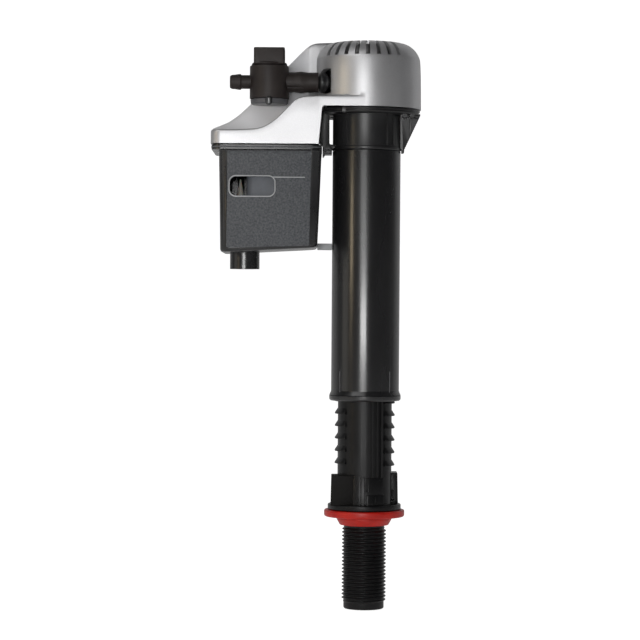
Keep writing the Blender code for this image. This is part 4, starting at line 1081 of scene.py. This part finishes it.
def studio_world():
    """White to the camera; otherwise dark in front and bright behind the object."""
    world = bpy.data.worlds.new("studio")
    scene.world = world
    world.use_nodes = True
    tree = world.node_tree
    tree.nodes.clear()
    direction = add_node(tree, "TexCoord").outputs["Generated"]
    axes = add_node(tree, "SeparateXYZ", {"Vector": direction})
    depth = add_node(tree, "MapRange", {
        "From Min": -1.0, "From Max": 1.0, "Value": axes.outputs["Y"]})
    sky = ramp(tree, depth.outputs["Result"], [
        (0.0, (0.05, 0.05, 0.052)), (0.45, (0.04, 0.04, 0.042)),
        (0.75, (0.19, 0.19, 0.19)), (0.95, (1.0, 1.0, 1.0))])
    lighting = add_node(tree, "Background", {"Color": sky, "Strength": 1.0})
    backdrop = add_node(tree, "Background", {"Color": (1, 1, 1, 1), "Strength": 1.0})
    mix = add_node(tree, "MixShader", {
        "Fac": add_node(tree, "LightPath").outputs["Is Camera Ray"],
        1: lighting.outputs["Background"], 2: backdrop.outputs["Background"]})
    add_node(tree, "OutputWorld", {"Surface": mix.outputs["Shader"]})


def aim(ob, target):
    way = Vector(target) - Vector(ob.location)
    ob.rotation_euler = way.to_track_quat('-Z', 'Y').to_euler()


def area(name, place, target_z, size, power, colour=(1, 1, 1)):
    """Rectangular light, hidden from the camera and aimed at a height on the Z axis."""
    light = bpy.data.lights.new(name, 'AREA')
    light.shape = 'RECTANGLE'
    light.size, light.size_y = size
    light.energy = power
    light.color = colour
    ob = add_object(name, light)
    ob.location = place
    aim(ob, (0.0, 0.0, target_z))
    ob.visible_camera = False


def add_lights():
    area("key", place=(-0.16, -1.25, 0.2), target_z=0.15, size=(0.42, 0.07), power=2.8)
    area("key_high", place=(-0.2, -1.2, 0.38), target_z=0.25, size=(0.42, 0.16), power=0.5)
    area("upper_fill", place=(-0.45, -0.9, 0.95), target_z=0.24, size=(0.9, 0.6), power=2.4)
    area("upper_left", place=(-0.7, -0.4, 1.2), target_z=0.24, size=(0.8, 0.8), power=0.8)
    area("warm_left", place=(-1.0, -0.84, 0.34), target_z=0.23, size=(0.20, 0.14), power=0.70,
         colour=(1.0, 0.82, 0.56))
    area("left_soft", place=(-1.2, -0.35, 0.28), target_z=0.25, size=(0.5, 0.4), power=0.4,
         colour=(1.0, 0.95, 0.86))


def add_camera():
    """Long lens from the front, rolled very slightly."""
    camera = bpy.data.cameras.new("photo_camera")
    camera.sensor_width = 36.0
    camera.lens = 127.0
    camera.clip_end = 20.0
    ob = add_object("photo_camera", camera)
    x = (AXIS_X - 22.75) * MM
    ob.location = (x, -1.13, 0.150)
    aim(ob, (x, 0.0, 0.144))
    ob.rotation_euler.rotate_axis('Z', math.radians(0.4))
    scene.camera = ob


# ------------------------------------------------------------------ build
build_shank()
build_washer()
build_outer_tube()
build_valve_body()
build_cover()
build_chamber()
build_float()
build_refill_valve()
finish_cad_parts()

scene.view_settings.view_transform = 'Standard'
studio_sweep()
studio_world()
add_lights()
add_camera()

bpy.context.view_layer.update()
